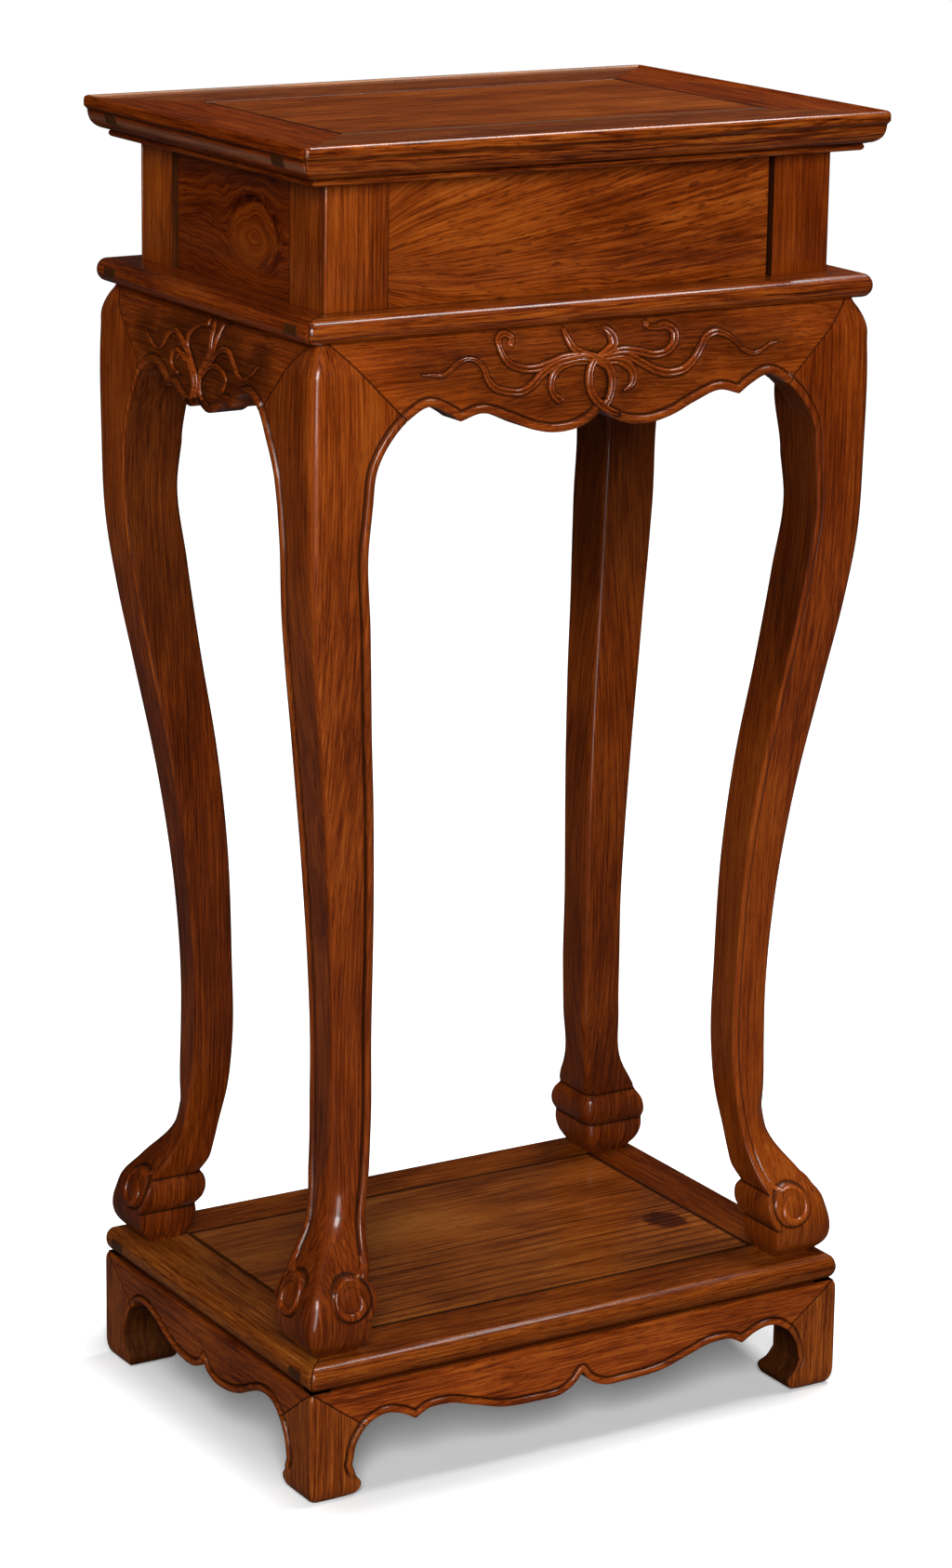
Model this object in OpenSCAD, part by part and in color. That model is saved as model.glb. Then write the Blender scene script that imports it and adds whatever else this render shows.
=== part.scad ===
// Tall four-legged stand with a high waist, cabriole legs and a footed base
// Origin: centre of the footprint on the floor. X runs along the long front, -Y is the front.

/* [Legs] */
// Width over the shoulders of the legs
leg_w = 447; // [400:1:500]
// Depth over the shoulders of the legs
leg_d = 312; // [280:1:350]
// Height of a leg from the base frame to the moulding
leg_h = 711; // [640:1:800]
// Width of a leg's face at the shoulder
leg_face = 48; // [44:1:52]
// How far the slim ankle stands in from the shoulder
ankle_in = 41.5; // [36:0.5:46]
// Thickness of that ankle
ankle_t = 30; // [24:0.5:34]
// Width of the scroll foot where it stands on the base
toe_w = 46; // [40:1:48]
// Height of the roll on the inside of the scroll foot
roll_h = 59; // [52:1:66]
// Width of the raised bead along carved edges
bead_w = 4.5; // [3:0.5:6]
// Height of that bead over the face
bead_rise = 1.2; // [0.6:0.1:2]
// Radius of the scroll carved on each side of the foot
scroll_r = 14.5; // [13:0.5:18]

/* [Aprons] */
// Thickness of the aprons under the moulding
apron_t = 22; // [18:1:26]
// Distance from the leg's outer edge to the top of its mitre
mitre_in = 17; // [12:1:22]

/* [Moulding] */
// Thickness of the moulded frame on the legs
moulding_t = 17; // [14:0.5:22]
// Its overhang past the legs at each end
moulding_over_w = 3; // [0:0.5:8]
// Its overhang past the legs at front and back
moulding_over_d = -1; // [-2:0.5:8]
// Width of its four members
moulding_member = 60; // [56:1:70]

/* [Waist] */
// Height of the waist
waist_h = 85; // [60:1:110]
// Setback of the waist from the legs' shoulders, at the ends
waist_in_w = 22.5; // [18:0.5:26]
// Setback of the waist from the legs' shoulders, at front and back
waist_in_d = 24.5; // [20:0.5:26]
// Width of each face of a corner post
post_w = 48; // [44:1:56]
// Thickness of the two wings of a corner post
post_t = 28; // [26:1:30]
// Thickness of the waist panels
waist_panel_t = 12; // [10:0.5:14]
// Setback of the waist panels from the posts
waist_recess = 1.5; // [0.5:0.5:4]

/* [Top] */
// Overhang of the top past the legs at each end
top_over_w = 9.5; // [4:0.5:16]
// Overhang of the top past the legs at front and back
top_over_d = 4; // [0:0.5:16]
// Thickness of the top frame
top_t = 28; // [26:0.5:34]
// Width of the top frame's members
top_member = 65; // [62:1:75]
// Width of the raised lip round the edge of the top
lip_w = 5; // [3:0.5:8]
// Height of that lip over the panel
lip_h = 1.5; // [0.5:0.5:3]
// Height of the upright band along the top's edge
band_h = 9; // [8:0.5:10]
// Radius that rounds that band into the lip
lip_r = 3; // [2:0.5:4]
// Width of the ovolo under the band
ovolo_w = 10.5; // [8:0.5:12]
// Radius of the small bead under the ovolo
edge_bead_r = 2.5; // [2:0.1:3]
// Thickness of the floating top panel
top_panel_t = 10; // [9:0.5:12]

/* [Base] */
// Overhang of the base frame past the legs at front and back
base_over_d = 3; // [0:0.5:8]
// Thickness of the base frame
base_t = 20; // [18:0.5:24]
// Width of the base frame's members
base_member = 48; // [44:1:56]
// Thickness of the floating base panel
base_panel_t = 11; // [10:0.5:12]
// Height of the feet under the base frame
foot_h = 82; // [74:1:95]
// Width of a foot's narrowest part
foot_face = 34; // [32:1:40]
// Thickness of the aprons between the feet
base_apron_t = 18; // [15:1:22]

/* [Joints] */
// Clearance round tenons and tongues
fit = 0.2; // [0.1:0.05:0.4]
// Gap left beside a floating panel for the wood to move
shrink_gap = 0.9; // [0.4:0.1:1.5]
// How far the panels' tongues reach into their grooves
tongue = 5; // [4:0.5:6]
// Thickness of those tongues
tongue_t = 5; // [4:0.5:5.5]
// Side of the square tenon at each end of a leg
leg_tenon = 12; // [9:0.5:13]
// How deep that tenon goes into the base frame
leg_tenon_low = 11; // [7:0.5:12]
// How deep the same tenon goes into the waist post
leg_tenon_high = 12; // [8:0.5:16]
// Height of the tenon on top of a waist post
post_tenon = 9; // [6:0.5:9.5]
// Height of the tenon on top of a foot
foot_tenon = 6; // [4:0.5:7]
// Width of the frames' through tenons
through_w = 12; // [8:0.5:13]
// Height of the frames' through tenons
through_h = 7; // [5:0.5:8]
// Width of the battens under the panels
batten_w = 28; // [22:1:36]
// How deep a batten's dovetail goes into its panel
dovetail = 3; // [2:0.5:3.5]
// Distance of the top battens from the middle
batten_at = 74; // [60:1:90]

/* [Hidden] */

// Heights of the joints between the layers, from the floor up
leg_z = foot_h + base_t;
moulding_z = leg_z + leg_h;
waist_z = moulding_z + moulding_t;
top_z = waist_z + waist_h;
stand_h = top_z + top_t;
panel_z = stand_h - lip_h;

// Plan sizes of the layers
moulding_w = leg_w + 2 * moulding_over_w;
moulding_d = leg_d + 2 * moulding_over_d;
waist_w = leg_w - 2 * waist_in_w;
waist_d = leg_d - 2 * waist_in_d;
top_w = leg_w + 2 * top_over_w;
top_d = leg_d + 2 * top_over_d;
base_w = leg_w;
base_d = leg_d + 2 * base_over_d;

// Where the square tenons stand, measured in from the corner of their piece
leg_tenon_top_in = 32;
leg_tenon_low_in = 24;
post_tenon_in = 8;
post_tenon_side = 14;
foot_tenon_in = 14;

// Where the through tenons lie: distance in from the frame's front edge, and from its underside
through_in_moulding = 16;
through_in_base = 14;
through_in_top = 32;
through_up_top = 11.5;

// Edge of the top: how far its band stands out over the ovolo, the height over which it slopes out,
// and the small step between the ovolo and the bead
band_over = 2.5;
band_slope = 2;
bead_step = 0.5;

// Steps between two points of a smooth curve, in a quarter round and along a scroll
curve_steps = 4;
arc_steps = 6;
spiral_steps = 40;

// How far a cut runs past the face that it opens
end_over = 5;

// Side of the square stock that a leg or a foot is cut from
stock = 90;

// Carved edges, measured down from the frame above: where the arch meets the leg, how much
// narrower the leg is there, where the beads stop and where the face starts to roll in
arch_depth = 112;
arch_in = 2.8;
bead_stop = 35;
shoulder_h = 32;

// The same for the base
base_arch_depth = 57;
foot_shoulder_h = 8;

// Heights of the battens over the underside of their frames, and of the tongues of the panels
top_batten_up = 3;
base_batten_up = 0.5;
tongue_up = 1.5;

// Wood colours
top_brown = [0.52, 0.28, 0.12];
leg_brown = [0.45, 0.20, 0.09];
rail_brown = [0.48, 0.23, 0.10];
panel_brown = [0.55, 0.28, 0.12];
base_brown = [0.42, 0.21, 0.09];

// Direction of a smooth curve at b, between its neighbours a and c
function direction(a, b, c) =
    a == b ? (c - b) / norm(c - b)
    : b == c ? (b - a) / norm(b - a)
    : ((b - a) / norm(b - a) * norm(c - b) + (c - b) / norm(c - b) * norm(b - a))
        / (norm(c - b) + norm(b - a));

// Point at share t of the way from p[i] to p[i + 1] on the smooth curve through p
function on_curve(p, i, t) =
    let (b = p[i], c = p[i + 1], h = norm(c - b),
         start = direction(p[max(i - 1, 0)], b, c) * h,
         end = direction(b, c, p[min(i + 2, len(p) - 1)]) * h)
    (2 * t * t * t - 3 * t * t + 1) * b + (t * t * t - 2 * t * t + t) * start
        + (3 * t * t - 2 * t * t * t) * c + (t * t * t - t * t) * end;

// The smooth curve through the points p
function smooth(p) =
    [for (i = [0:len(p) - 2]) for (k = [0:curve_steps - 1]) on_curve(p, i, k / curve_steps),
     p[len(p) - 1]];

function reversed(p) = [for (i = [len(p) - 1:-1:0]) p[i]];

// Elliptical arc about a centre, from one angle to another
function arc(centre, rx, rz, from, to) =
    [for (k = [0:arc_steps])
        let (a = from + (to - from) * k / arc_steps)
        centre + [rx * cos(a), rz * sin(a)]];

// A moulded section given as [inset, height], drawn on both edges of a frame
function two_edges(half, profile) =
    concat([for (p = profile) [p[0] - half, p[1]]], [for (p = reversed(profile)) [half - p[0], p[1]]]);

// Edge of the top: rounded lip, band, ovolo and a small bead, from the underside up
function top_edge() =
    let (bead_in = band_over + ovolo_w, ovolo_z = top_z + 2 * edge_bead_r + bead_step,
         band_z = stand_h - band_h)
    concat(arc([bead_in + edge_bead_r, top_z + edge_bead_r], edge_bead_r, edge_bead_r, 270, 90),
           arc([bead_in, band_z], ovolo_w, band_z - ovolo_z, 270, 180),
           [[0, band_z + band_slope]],
           arc([lip_r, stand_h - lip_r], lip_r, lip_r, 180, 90));

// Half-round edge of a frame of thickness t that lies on the height z
function bullnose(z, t) =
    concat(arc([t / 2, z + t / 2], t / 2, t / 2, 270, 180), arc([t / 2, z + t / 2], t / 2, t / 2, 180, 90));

// Points given as shares of a width and a height
function scaled(points, wide, high) = [for (p = points) [p[0] * wide, p[1] * high]];

// Outer line of a leg as [inset, height over the base frame]: scroll, ankle, bow, shoulder
function leg_outer() =
    smooth(concat(scaled([[0.318, 0], [0.1136, 0.1864], [0.0614, 0.4237], [0.125, 0.695], [0.425, 1.034]],
                         toe_w, roll_h),
                  [[ankle_in * 0.7687, roll_h * 1.373]],
                  scaled([[0.9446, 0.173], [1, 0.25], [0.9277, 0.374], [0.72, 0.494], [0.415, 0.612],
                          [0.207, 0.69], [0.05, 0.766], [0, 0.845]], ankle_in, leg_h),
                  [for (p = scaled([[0, -1], [0.022, -0.594], [0.144, -0.266], [0.3125, 0]],
                                   shoulder_h, shoulder_h)) p + [0, leg_h]]));

// Inner line of a leg, from the apron's arch down to the foot's upper roll
function leg_inner() =
    smooth(concat([[leg_face - arch_in, leg_h - arch_depth]],
                  scaled([[0.891, 0.8003], [0.991, 0.7243], [1.1435, 0.6273], [1.32, 0.5288],
                          [1.435, 0.429]], leg_face, leg_h),
                  [[ankle_in + ankle_t * 0.99, leg_h * 0.31], [ankle_in + ankle_t, leg_h * 0.218],
                   [ankle_in + ankle_t * 0.911, roll_h * 2.034]],
                  scaled([[1.389, 1.542], [1.33, 1.261], [1.27, 1.034], [1.18, 0.868]], toe_w, roll_h)));

// Upper roll and lower block on the inside of the scroll foot, from the top down
function foot_roll() =
    concat(smooth(scaled([[1.18, 0.868], [1.235, 0.8], [1.2545, 0.68], [1.216, 0.5424],
                          [1.125, 0.4322]], toe_w, roll_h)),
           smooth(scaled([[1.125, 0.4237], [1.1364, 0.339], [1.1023, 0.1695], [1, 0]], toe_w, roll_h)));

// Lower edges of the aprons as [share of the half opening, share of the arch's depth].
// Each has a lobed middle part up to its cusp and an arch that runs down into the leg.
front_lobes = [[0, 0.5179], [0.03, 0.5625], [0.09, 0.6134], [0.21, 0.6384], [0.32, 0.6027],
               [0.42, 0.5357], [0.54, 0.4795], [0.626, 0.5152]];
front_arch = [[0.626, 0.5152], [0.68, 0.4598], [0.765, 0.4107], [0.838, 0.4643], [0.922, 0.5893],
              [0.978, 0.7411], [1, 1]];
side_lobes = [[0, 0.5536], [0.06, 0.5804], [0.134, 0.5911], [0.24, 0.5536], [0.33, 0.5],
              [0.42, 0.5134]];
side_arch = [[0.42, 0.5134], [0.5, 0.442], [0.634, 0.4018], [0.76, 0.4598], [0.87, 0.625],
             [0.96, 0.8125], [1, 1]];

// The same for the aprons of the base; the short sides have no cusp
base_front_lobes = [[0, 0.4737], [0.03, 0.5965], [0.08, 0.6947], [0.21, 0.7228], [0.36, 0.6912],
                    [0.47, 0.5877], [0.6, 0.4772], [0.68, 0.4912], [0.731, 0.5789]];
base_front_arch = [[0.731, 0.5789], [0.79, 0.4737], [0.86, 0.4246], [0.93, 0.5088], [0.98, 0.7193],
                   [1, 1]];
base_side_lobes = [[0, 0.5263], [0.04, 0.6316], [0.12, 0.7053], [0.28, 0.7088], [0.44, 0.6228],
                   [0.58, 0.4737]];
base_side_arch = [[0.58, 0.4737], [0.7, 0.386], [0.82, 0.3947], [0.92, 0.5614], [0.98, 0.7895],
                  [1, 1]];

// An apron's lower edge from the middle outwards, as [distance from the middle, height]
function placed(points, half_open, top, depth) =
    smooth([for (p = scaled(points, half_open, depth)) [p[0], top - p[1]]]);
function apron_edge(lobes, arch, half_open, top, depth) =
    concat(placed(lobes, half_open, top, depth), placed(arch, half_open, top, depth));

// The arch alone, as [inset from the outer face, height], from the leg up to just past the mitre
function corner_arch(arch, half, half_open, top, depth, reach) =
    [for (p = reversed(placed(arch, half_open, top, depth)))
        if (half - p[0] < reach) [half - p[0], p[1]]];

// Outer line of a foot as [inset, height]
function foot_outer() =
    concat(smooth(scaled([[0.1324, 0], [0.0647, 0.0244], [0.0176, 0.0732], [0, 0.1341]],
                         foot_face, foot_h)),
           smooth([for (p = scaled([[0, -1], [0.0625, -0.375], [0.25, 0]], foot_shoulder_h, foot_shoulder_h))
                      p + [0, foot_h]]));

// Toe and inner line of a foot, from the floor up to its narrowest part
function foot_inner() =
    smooth(concat(scaled([[0.9118, 0], [1.1618, 0.0366], [1.2353, 0.1098], [1.1029, 0.1951]],
                         foot_face, foot_h),
                  [[foot_face, foot_h - base_arch_depth]]));

// Section of an apron as [inset, height]: its face rolls in under the frame above
function apron_section(t, top, drop) =
    concat([[t, top - drop], [0, top - drop]],
           [for (p = leg_outer()) if (p[1] > leg_h - shoulder_h - 1) p + [0, top - leg_h]], [[t, top]]);
function base_apron_section(t, top, drop) =
    concat([[t, top - drop], [0, top - drop]],
           [for (p = foot_outer()) if (p[1] > foot_h - foot_shoulder_h - 1) p + [0, top - foot_h]],
           [[t, top]]);

// Field between the two mitres of an apron: all that lies inside and above them
function mitre_field(half, top, start, slope, drop) =
    let (wide = half - start + end_over / slope, narrow = half - start - drop / slope)
    [[-wide, top + end_over], [-narrow, top - drop], [narrow, top - drop], [wide, top + end_over]];

// Shapes drawn in the plane of the front, pushed from y0 to y1
module along_y(y0, y1) {
    translate([0, y1, 0]) rotate([90, 0, 0]) linear_extrude(y1 - y0) children();
}

// Shapes drawn in the plane of a side, as [y, z], pushed from x0 to x1
module along_x(x0, x1) {
    translate([x0, 0, 0]) rotate([90, 0, 90]) linear_extrude(x1 - x0) children();
}

// A box given by its two opposite corners
module block(low, high) {
    translate(low) cube(high - low);
}

// Puts what is drawn for the front left quarter at another corner
module at_corner(right, back) {
    mirror([right, 0, 0]) mirror([0, back, 0]) children();
}

// A moulded frame before its members are parted
module frame_blank(w, d, profile) {
    intersection() {
        along_x(-w / 2, w / 2) polygon(two_edges(d / 2, profile));
        along_y(-d / 2, d / 2) polygon(two_edges(w / 2, profile));
    }
}

// Ground taken up by the front member and by the left member, cut at their mitres
module front_ground(w, d, member, z, t) {
    translate([0, 0, z]) linear_extrude(t)
        polygon([[-w / 2, -d / 2], [w / 2, -d / 2], [w / 2 - member, member - d / 2],
                 [member - w / 2, member - d / 2]]);
}
module left_ground(w, d, member, z, t) {
    translate([0, 0, z]) linear_extrude(t)
        polygon([[-w / 2, -d / 2], [member - w / 2, member - d / 2], [member - w / 2, d / 2 - member],
                 [-w / 2, d / 2]]);
}

// Through tenons at both ends of the front member, or the mortises for them when grown by the fit
module front_tenons(w, d, inset, z, grow) {
    block([-w / 2 - grow, inset - d / 2 - grow, z - grow],
          [w / 2 + grow, inset - d / 2 + through_w + grow, z + through_h + grow]);
}

// The long member of a frame, at the front
module front_member(w, d, member, z, t, profile, inset, up) {
    intersection() {
        frame_blank(w, d, profile);
        union() {
            front_ground(w, d, member, z, t);
            front_tenons(w, d, inset, z + up, 0);
        }
    }
}

// The short member of a frame, at the left, with the mortises for both long members
module left_member(w, d, member, z, t, profile, inset, up) {
    difference() {
        intersection() {
            frame_blank(w, d, profile);
            left_ground(w, d, member, z, t);
        }
        front_tenons(w, d, inset, z + up, fit);
        mirror([0, 1, 0]) front_tenons(w, d, inset, z + up, fit);
    }
}

// Square tenon standing in from the corner of a w x d plan, in all four corners
module corner_tenons(w, d, inset, side, z0, z1, grow) {
    for (right = [0, 1], back = [0, 1])
        at_corner(right, back)
            block([inset - w / 2 - grow, inset - d / 2 - grow, z0],
                  [inset - w / 2 + side + grow, inset - d / 2 + side + grow, z1]);
}

// Tenons of the legs, the posts and the feet, or the mortises for them
module leg_tops(grow) {
    corner_tenons(leg_w, leg_d, leg_tenon_top_in, leg_tenon, moulding_z - grow,
                  waist_z + leg_tenon_high + grow, grow);
}
module leg_bottoms(grow) {
    corner_tenons(leg_w, leg_d, leg_tenon_low_in, leg_tenon, leg_z - leg_tenon_low - grow,
                  leg_z + grow, grow);
}
module post_tops(grow) {
    corner_tenons(waist_w, waist_d, post_tenon_in, post_tenon_side, top_z - grow,
                  top_z + post_tenon + grow, grow);
}
module foot_tops(grow) {
    corner_tenons(base_w, base_d, foot_tenon_in, leg_tenon, foot_h - grow,
                  foot_h + foot_tenon + grow, grow);
}

// Openings in the frames and between the posts that the panels fill
top_open_w = top_w - 2 * top_member;
top_open_d = top_d - 2 * top_member;
base_open_w = base_w - 2 * base_member;
base_open_d = base_d - 2 * base_member;
waist_open_w = waist_w - 2 * post_w;
waist_open_d = waist_d - 2 * post_w;

// Field of a flat panel, with half of the gap left free along each edge
module flat_field(open_w, open_d, low, high) {
    block([shrink_gap / 2 - open_w / 2, shrink_gap / 2 - open_d / 2, low],
          [open_w / 2 - shrink_gap / 2, open_d / 2 - shrink_gap / 2, high]);
}

// Tongue round a flat panel, or the groove for it when grown
module flat_tongue(open_w, open_d, z, grow) {
    block([-open_w / 2 - tongue - grow, -open_d / 2 - tongue - grow, z + tongue_up - grow],
          [open_w / 2 + tongue + grow, open_d / 2 + tongue + grow, z + tongue_up + tongue_t + grow]);
}

// Tongue round the waist panel at the front, or the groove for it when grown
waist_tongue_y = waist_recess + (waist_panel_t - tongue_t) / 2;
module front_waist_tongue(grow) {
    block([-waist_open_w / 2 - tongue - grow, waist_tongue_y - waist_d / 2 - grow, waist_z - tongue - grow],
          [waist_open_w / 2 + tongue + grow, waist_tongue_y - waist_d / 2 + tongue_t + grow,
           top_z + tongue + grow]);
}
module left_waist_tongue(grow) {
    block([waist_tongue_y - waist_w / 2 - grow, -waist_open_d / 2 - tongue - grow, waist_z - tongue - grow],
          [waist_tongue_y - waist_w / 2 + tongue_t + grow, waist_open_d / 2 + tongue + grow,
           top_z + tongue + grow]);
}
module waist_grooves() {
    front_waist_tongue(fit);
    mirror([0, 1, 0]) front_waist_tongue(fit);
    left_waist_tongue(fit);
    mirror([1, 0, 0]) left_waist_tongue(fit);
}

// Dovetailed batten across the underside of a panel; its ends are tenoned into the long members
module batten(open_d, low, high, grow) {
    root = batten_w * 0.36;
    tip = batten_w * 0.43;
    end_w = batten_w * 0.3;
    end_l = 10;
    end_z = 1.5;
    block([-batten_w / 2, -open_d / 2, low], [batten_w / 2, open_d / 2, high]);
    along_y(-open_d / 2 + fit, open_d / 2 - fit)
        polygon([[-root - grow, high - grow], [root + grow, high - grow],
                 [tip + grow, high + dovetail + grow], [-tip - grow, high + dovetail + grow]]);
    block([-end_w - grow, -open_d / 2 - end_l - grow, low + end_z - grow],
          [end_w + grow, open_d / 2 + end_l + grow, high - end_z + grow]);
}
module top_battens(grow) {
    for (side = [-1, 1])
        translate([side * batten_at, 0, 0])
            batten(top_open_d, top_z + top_batten_up, panel_z - top_panel_t, grow);
}
module base_batten_shape(grow) {
    batten(base_open_d, foot_h + base_batten_up, leg_z - base_panel_t, grow);
}

// Frame of the top
module top_member_cuts() {
    flat_tongue(top_open_w, top_open_d, panel_z - top_panel_t, fit);
    top_battens(fit);
    post_tops(fit);
    waist_grooves();
    intersection() {
        along_x(-top_w / 2, top_w / 2)
            polygon([[lip_w + lip_h - top_d / 2, panel_z], [top_d / 2 - lip_w - lip_h, panel_z],
                     [top_d / 2 - lip_w + lip_h, panel_z + 2 * lip_h],
                     [lip_w - lip_h - top_d / 2, panel_z + 2 * lip_h]]);
        along_y(-top_d / 2, top_d / 2)
            polygon([[lip_w + lip_h - top_w / 2, panel_z], [top_w / 2 - lip_w - lip_h, panel_z],
                     [top_w / 2 - lip_w + lip_h, panel_z + 2 * lip_h],
                     [lip_w - lip_h - top_w / 2, panel_z + 2 * lip_h]]);
    }
}
module top_front_shape() {
    difference() {
        front_member(top_w, top_d, top_member, top_z, top_t, top_edge(), through_in_top, through_up_top);
        top_member_cuts();
    }
}
module top_left_shape() {
    difference() {
        left_member(top_w, top_d, top_member, top_z, top_t, top_edge(), through_in_top, through_up_top);
        top_member_cuts();
    }
}
module top_frame_front() { color(top_brown) top_front_shape(); }
module top_frame_back() { color(top_brown) mirror([0, 1, 0]) top_front_shape(); }
module top_frame_left() { color(top_brown) top_left_shape(); }
module top_frame_right() { color(top_brown) mirror([1, 0, 0]) top_left_shape(); }

// Floating panel of the top
module top_panel() {
    color(panel_brown) difference() {
        union() {
            flat_field(top_open_w, top_open_d, panel_z - top_panel_t, panel_z);
            flat_tongue(top_open_w, top_open_d, panel_z - top_panel_t, 0);
        }
        top_battens(fit);
    }
}
module top_batten_left() {
    color(rail_brown) translate([-batten_at, 0, 0])
        batten(top_open_d, top_z + top_batten_up, panel_z - top_panel_t - fit, 0);
}
module top_batten_right() {
    color(rail_brown) translate([batten_at, 0, 0])
        batten(top_open_d, top_z + top_batten_up, panel_z - top_panel_t - fit, 0);
}

// Corner post of the waist: two wings, a tenon above and a mortise for the leg below
module post_shape(right, back) {
    at_corner(right, back) difference() {
        union() {
            translate([-waist_w / 2, -waist_d / 2, waist_z]) linear_extrude(waist_h)
                polygon([[0, 0], [post_w, 0], [post_w, post_t], [post_t, post_t], [post_t, post_w],
                         [0, post_w]]);
            intersection() {
                post_tops(0);
                block([-waist_w / 2, -waist_d / 2, top_z], [0, 0, stand_h]);
            }
        }
        leg_tops(fit);
        waist_grooves();
    }
}
module waist_post_front_left() { color(leg_brown) post_shape(0, 0); }
module waist_post_front_right() { color(leg_brown) post_shape(1, 0); }
module waist_post_back_left() { color(leg_brown) post_shape(0, 1); }
module waist_post_back_right() { color(leg_brown) post_shape(1, 1); }

// Waist panels, tongued on all four edges
module front_waist_shape() {
    block([shrink_gap / 2 - waist_open_w / 2, waist_recess - waist_d / 2, waist_z + fit],
          [waist_open_w / 2 - shrink_gap / 2, waist_recess - waist_d / 2 + waist_panel_t, top_z - fit]);
    front_waist_tongue(0);
}
module left_waist_shape() {
    block([waist_recess - waist_w / 2, shrink_gap / 2 - waist_open_d / 2, waist_z + fit],
          [waist_recess - waist_w / 2 + waist_panel_t, waist_open_d / 2 - shrink_gap / 2, top_z - fit]);
    left_waist_tongue(0);
}
module waist_panel_front() { color(panel_brown) front_waist_shape(); }
module waist_panel_back() { color(panel_brown) mirror([0, 1, 0]) front_waist_shape(); }
module waist_panel_left() { color(panel_brown) left_waist_shape(); }
module waist_panel_right() { color(panel_brown) mirror([1, 0, 0]) left_waist_shape(); }

// Moulded frame between the legs and the waist
through_up_moulding = (moulding_t - through_h) / 2;
module moulding_front_shape() {
    difference() {
        front_member(moulding_w, moulding_d, moulding_member, moulding_z, moulding_t,
                     bullnose(moulding_z, moulding_t), through_in_moulding, through_up_moulding);
        leg_tops(fit);
        waist_grooves();
    }
}
module moulding_left_shape() {
    difference() {
        left_member(moulding_w, moulding_d, moulding_member, moulding_z, moulding_t,
                    bullnose(moulding_z, moulding_t), through_in_moulding, through_up_moulding);
        leg_tops(fit);
        waist_grooves();
    }
}
module moulding_front() { color(rail_brown) moulding_front_shape(); }
module moulding_back() { color(rail_brown) mirror([0, 1, 0]) moulding_front_shape(); }
module moulding_left() { color(rail_brown) moulding_left_shape(); }
module moulding_right() { color(rail_brown) mirror([1, 0, 0]) moulding_left_shape(); }

// Aprons. The field between the mitres is as deep as the arch.
apron_drop = 91;
mitre_slope = 1;
front_open = leg_w / 2 - leg_face + arch_in;
side_open = leg_d / 2 - leg_face + arch_in;
apron_tenon_up = 38;
apron_tenon_h = 20;
apron_tenon_t = 6;
apron_tenon_end = 6;

// How deep the beads are rooted in the wood under them
bead_root = 2.5;

// Outline of an apron and the ears of its two legs, from the frame above down
module lattice(lobes, arch, half, half_open, top) {
    edge = apron_edge(lobes, arch, half_open, top, arch_depth);
    low = top - arch_depth - 1;
    polygon(concat([[-half, top], [-half, low]], [for (p = reversed(edge)) [-p[0], p[1]]], edge,
                   [[half, low], [half, top]]));
}
module front_apron_outline() {
    intersection() {
        lattice(front_lobes, front_arch, leg_w / 2, front_open, moulding_z);
        polygon(mitre_field(leg_w / 2, moulding_z, mitre_in, mitre_slope, apron_drop));
    }
}
module side_apron_outline() {
    intersection() {
        lattice(side_lobes, side_arch, leg_d / 2, side_open, moulding_z);
        polygon(mitre_field(leg_d / 2, moulding_z, mitre_in, mitre_slope, apron_drop));
    }
}

// Stub tenons at both ends of an apron, drawn in its own plane
module apron_tenon_outline(half, grow) {
    translate([-(half - mitre_in - apron_tenon_end) - grow, moulding_z - apron_tenon_up - grow])
        square([2 * (half - mitre_in - apron_tenon_end + grow), apron_tenon_h + 2 * grow]);
}
module front_apron_tenons(grow) {
    translate([0, apron_t / 2 - leg_d / 2, 0])
        along_y(-apron_tenon_t / 2 - grow, apron_tenon_t / 2 + grow) apron_tenon_outline(leg_w / 2, grow);
}
module side_apron_tenons(grow) {
    translate([apron_t / 2 - leg_w / 2, 0, 0])
        along_x(-apron_tenon_t / 2 - grow, apron_tenon_t / 2 + grow) apron_tenon_outline(leg_d / 2, grow);
}
module front_apron_shape() {
    intersection() {
        along_y(-leg_d / 2, apron_t - leg_d / 2) front_apron_outline();
        along_x(-leg_w / 2, leg_w / 2)
            translate([-leg_d / 2, 0]) polygon(apron_section(apron_t, moulding_z, apron_drop));
    }
    along_y(-bead_rise - leg_d / 2, bead_root - leg_d / 2) intersection() {
        edge_bead() lattice(front_lobes, front_arch, leg_w / 2, front_open, moulding_z);
        polygon(mitre_field(leg_w / 2, moulding_z, mitre_in, mitre_slope, apron_drop));
        translate([-leg_w / 2, moulding_z - apron_drop]) square([leg_w, apron_drop - bead_stop]);
    }
    front_apron_tenons(0);
}
module side_apron_shape() {
    intersection() {
        along_x(-leg_w / 2, apron_t - leg_w / 2) side_apron_outline();
        along_y(-leg_d / 2, leg_d / 2)
            translate([-leg_w / 2, 0]) polygon(apron_section(apron_t, moulding_z, apron_drop));
    }
    along_x(-bead_rise - leg_w / 2, bead_root - leg_w / 2) intersection() {
        edge_bead() lattice(side_lobes, side_arch, leg_d / 2, side_open, moulding_z);
        polygon(mitre_field(leg_d / 2, moulding_z, mitre_in, mitre_slope, apron_drop));
        translate([-leg_d / 2, moulding_z - apron_drop]) square([leg_d, apron_drop - bead_stop]);
    }
    side_apron_tenons(0);
}

// Band of the bead's width along the edge of an outline
module edge_bead() {
    difference() {
        children();
        offset(delta = -bead_w) children();
    }
}
module apron_front() { color(rail_brown) front_apron_shape(); }
module apron_back() { color(rail_brown) mirror([0, 1, 0]) front_apron_shape(); }
module apron_left() { color(rail_brown) side_apron_shape(); }
module apron_right() { color(rail_brown) mirror([1, 0, 0]) side_apron_shape(); }

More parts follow.
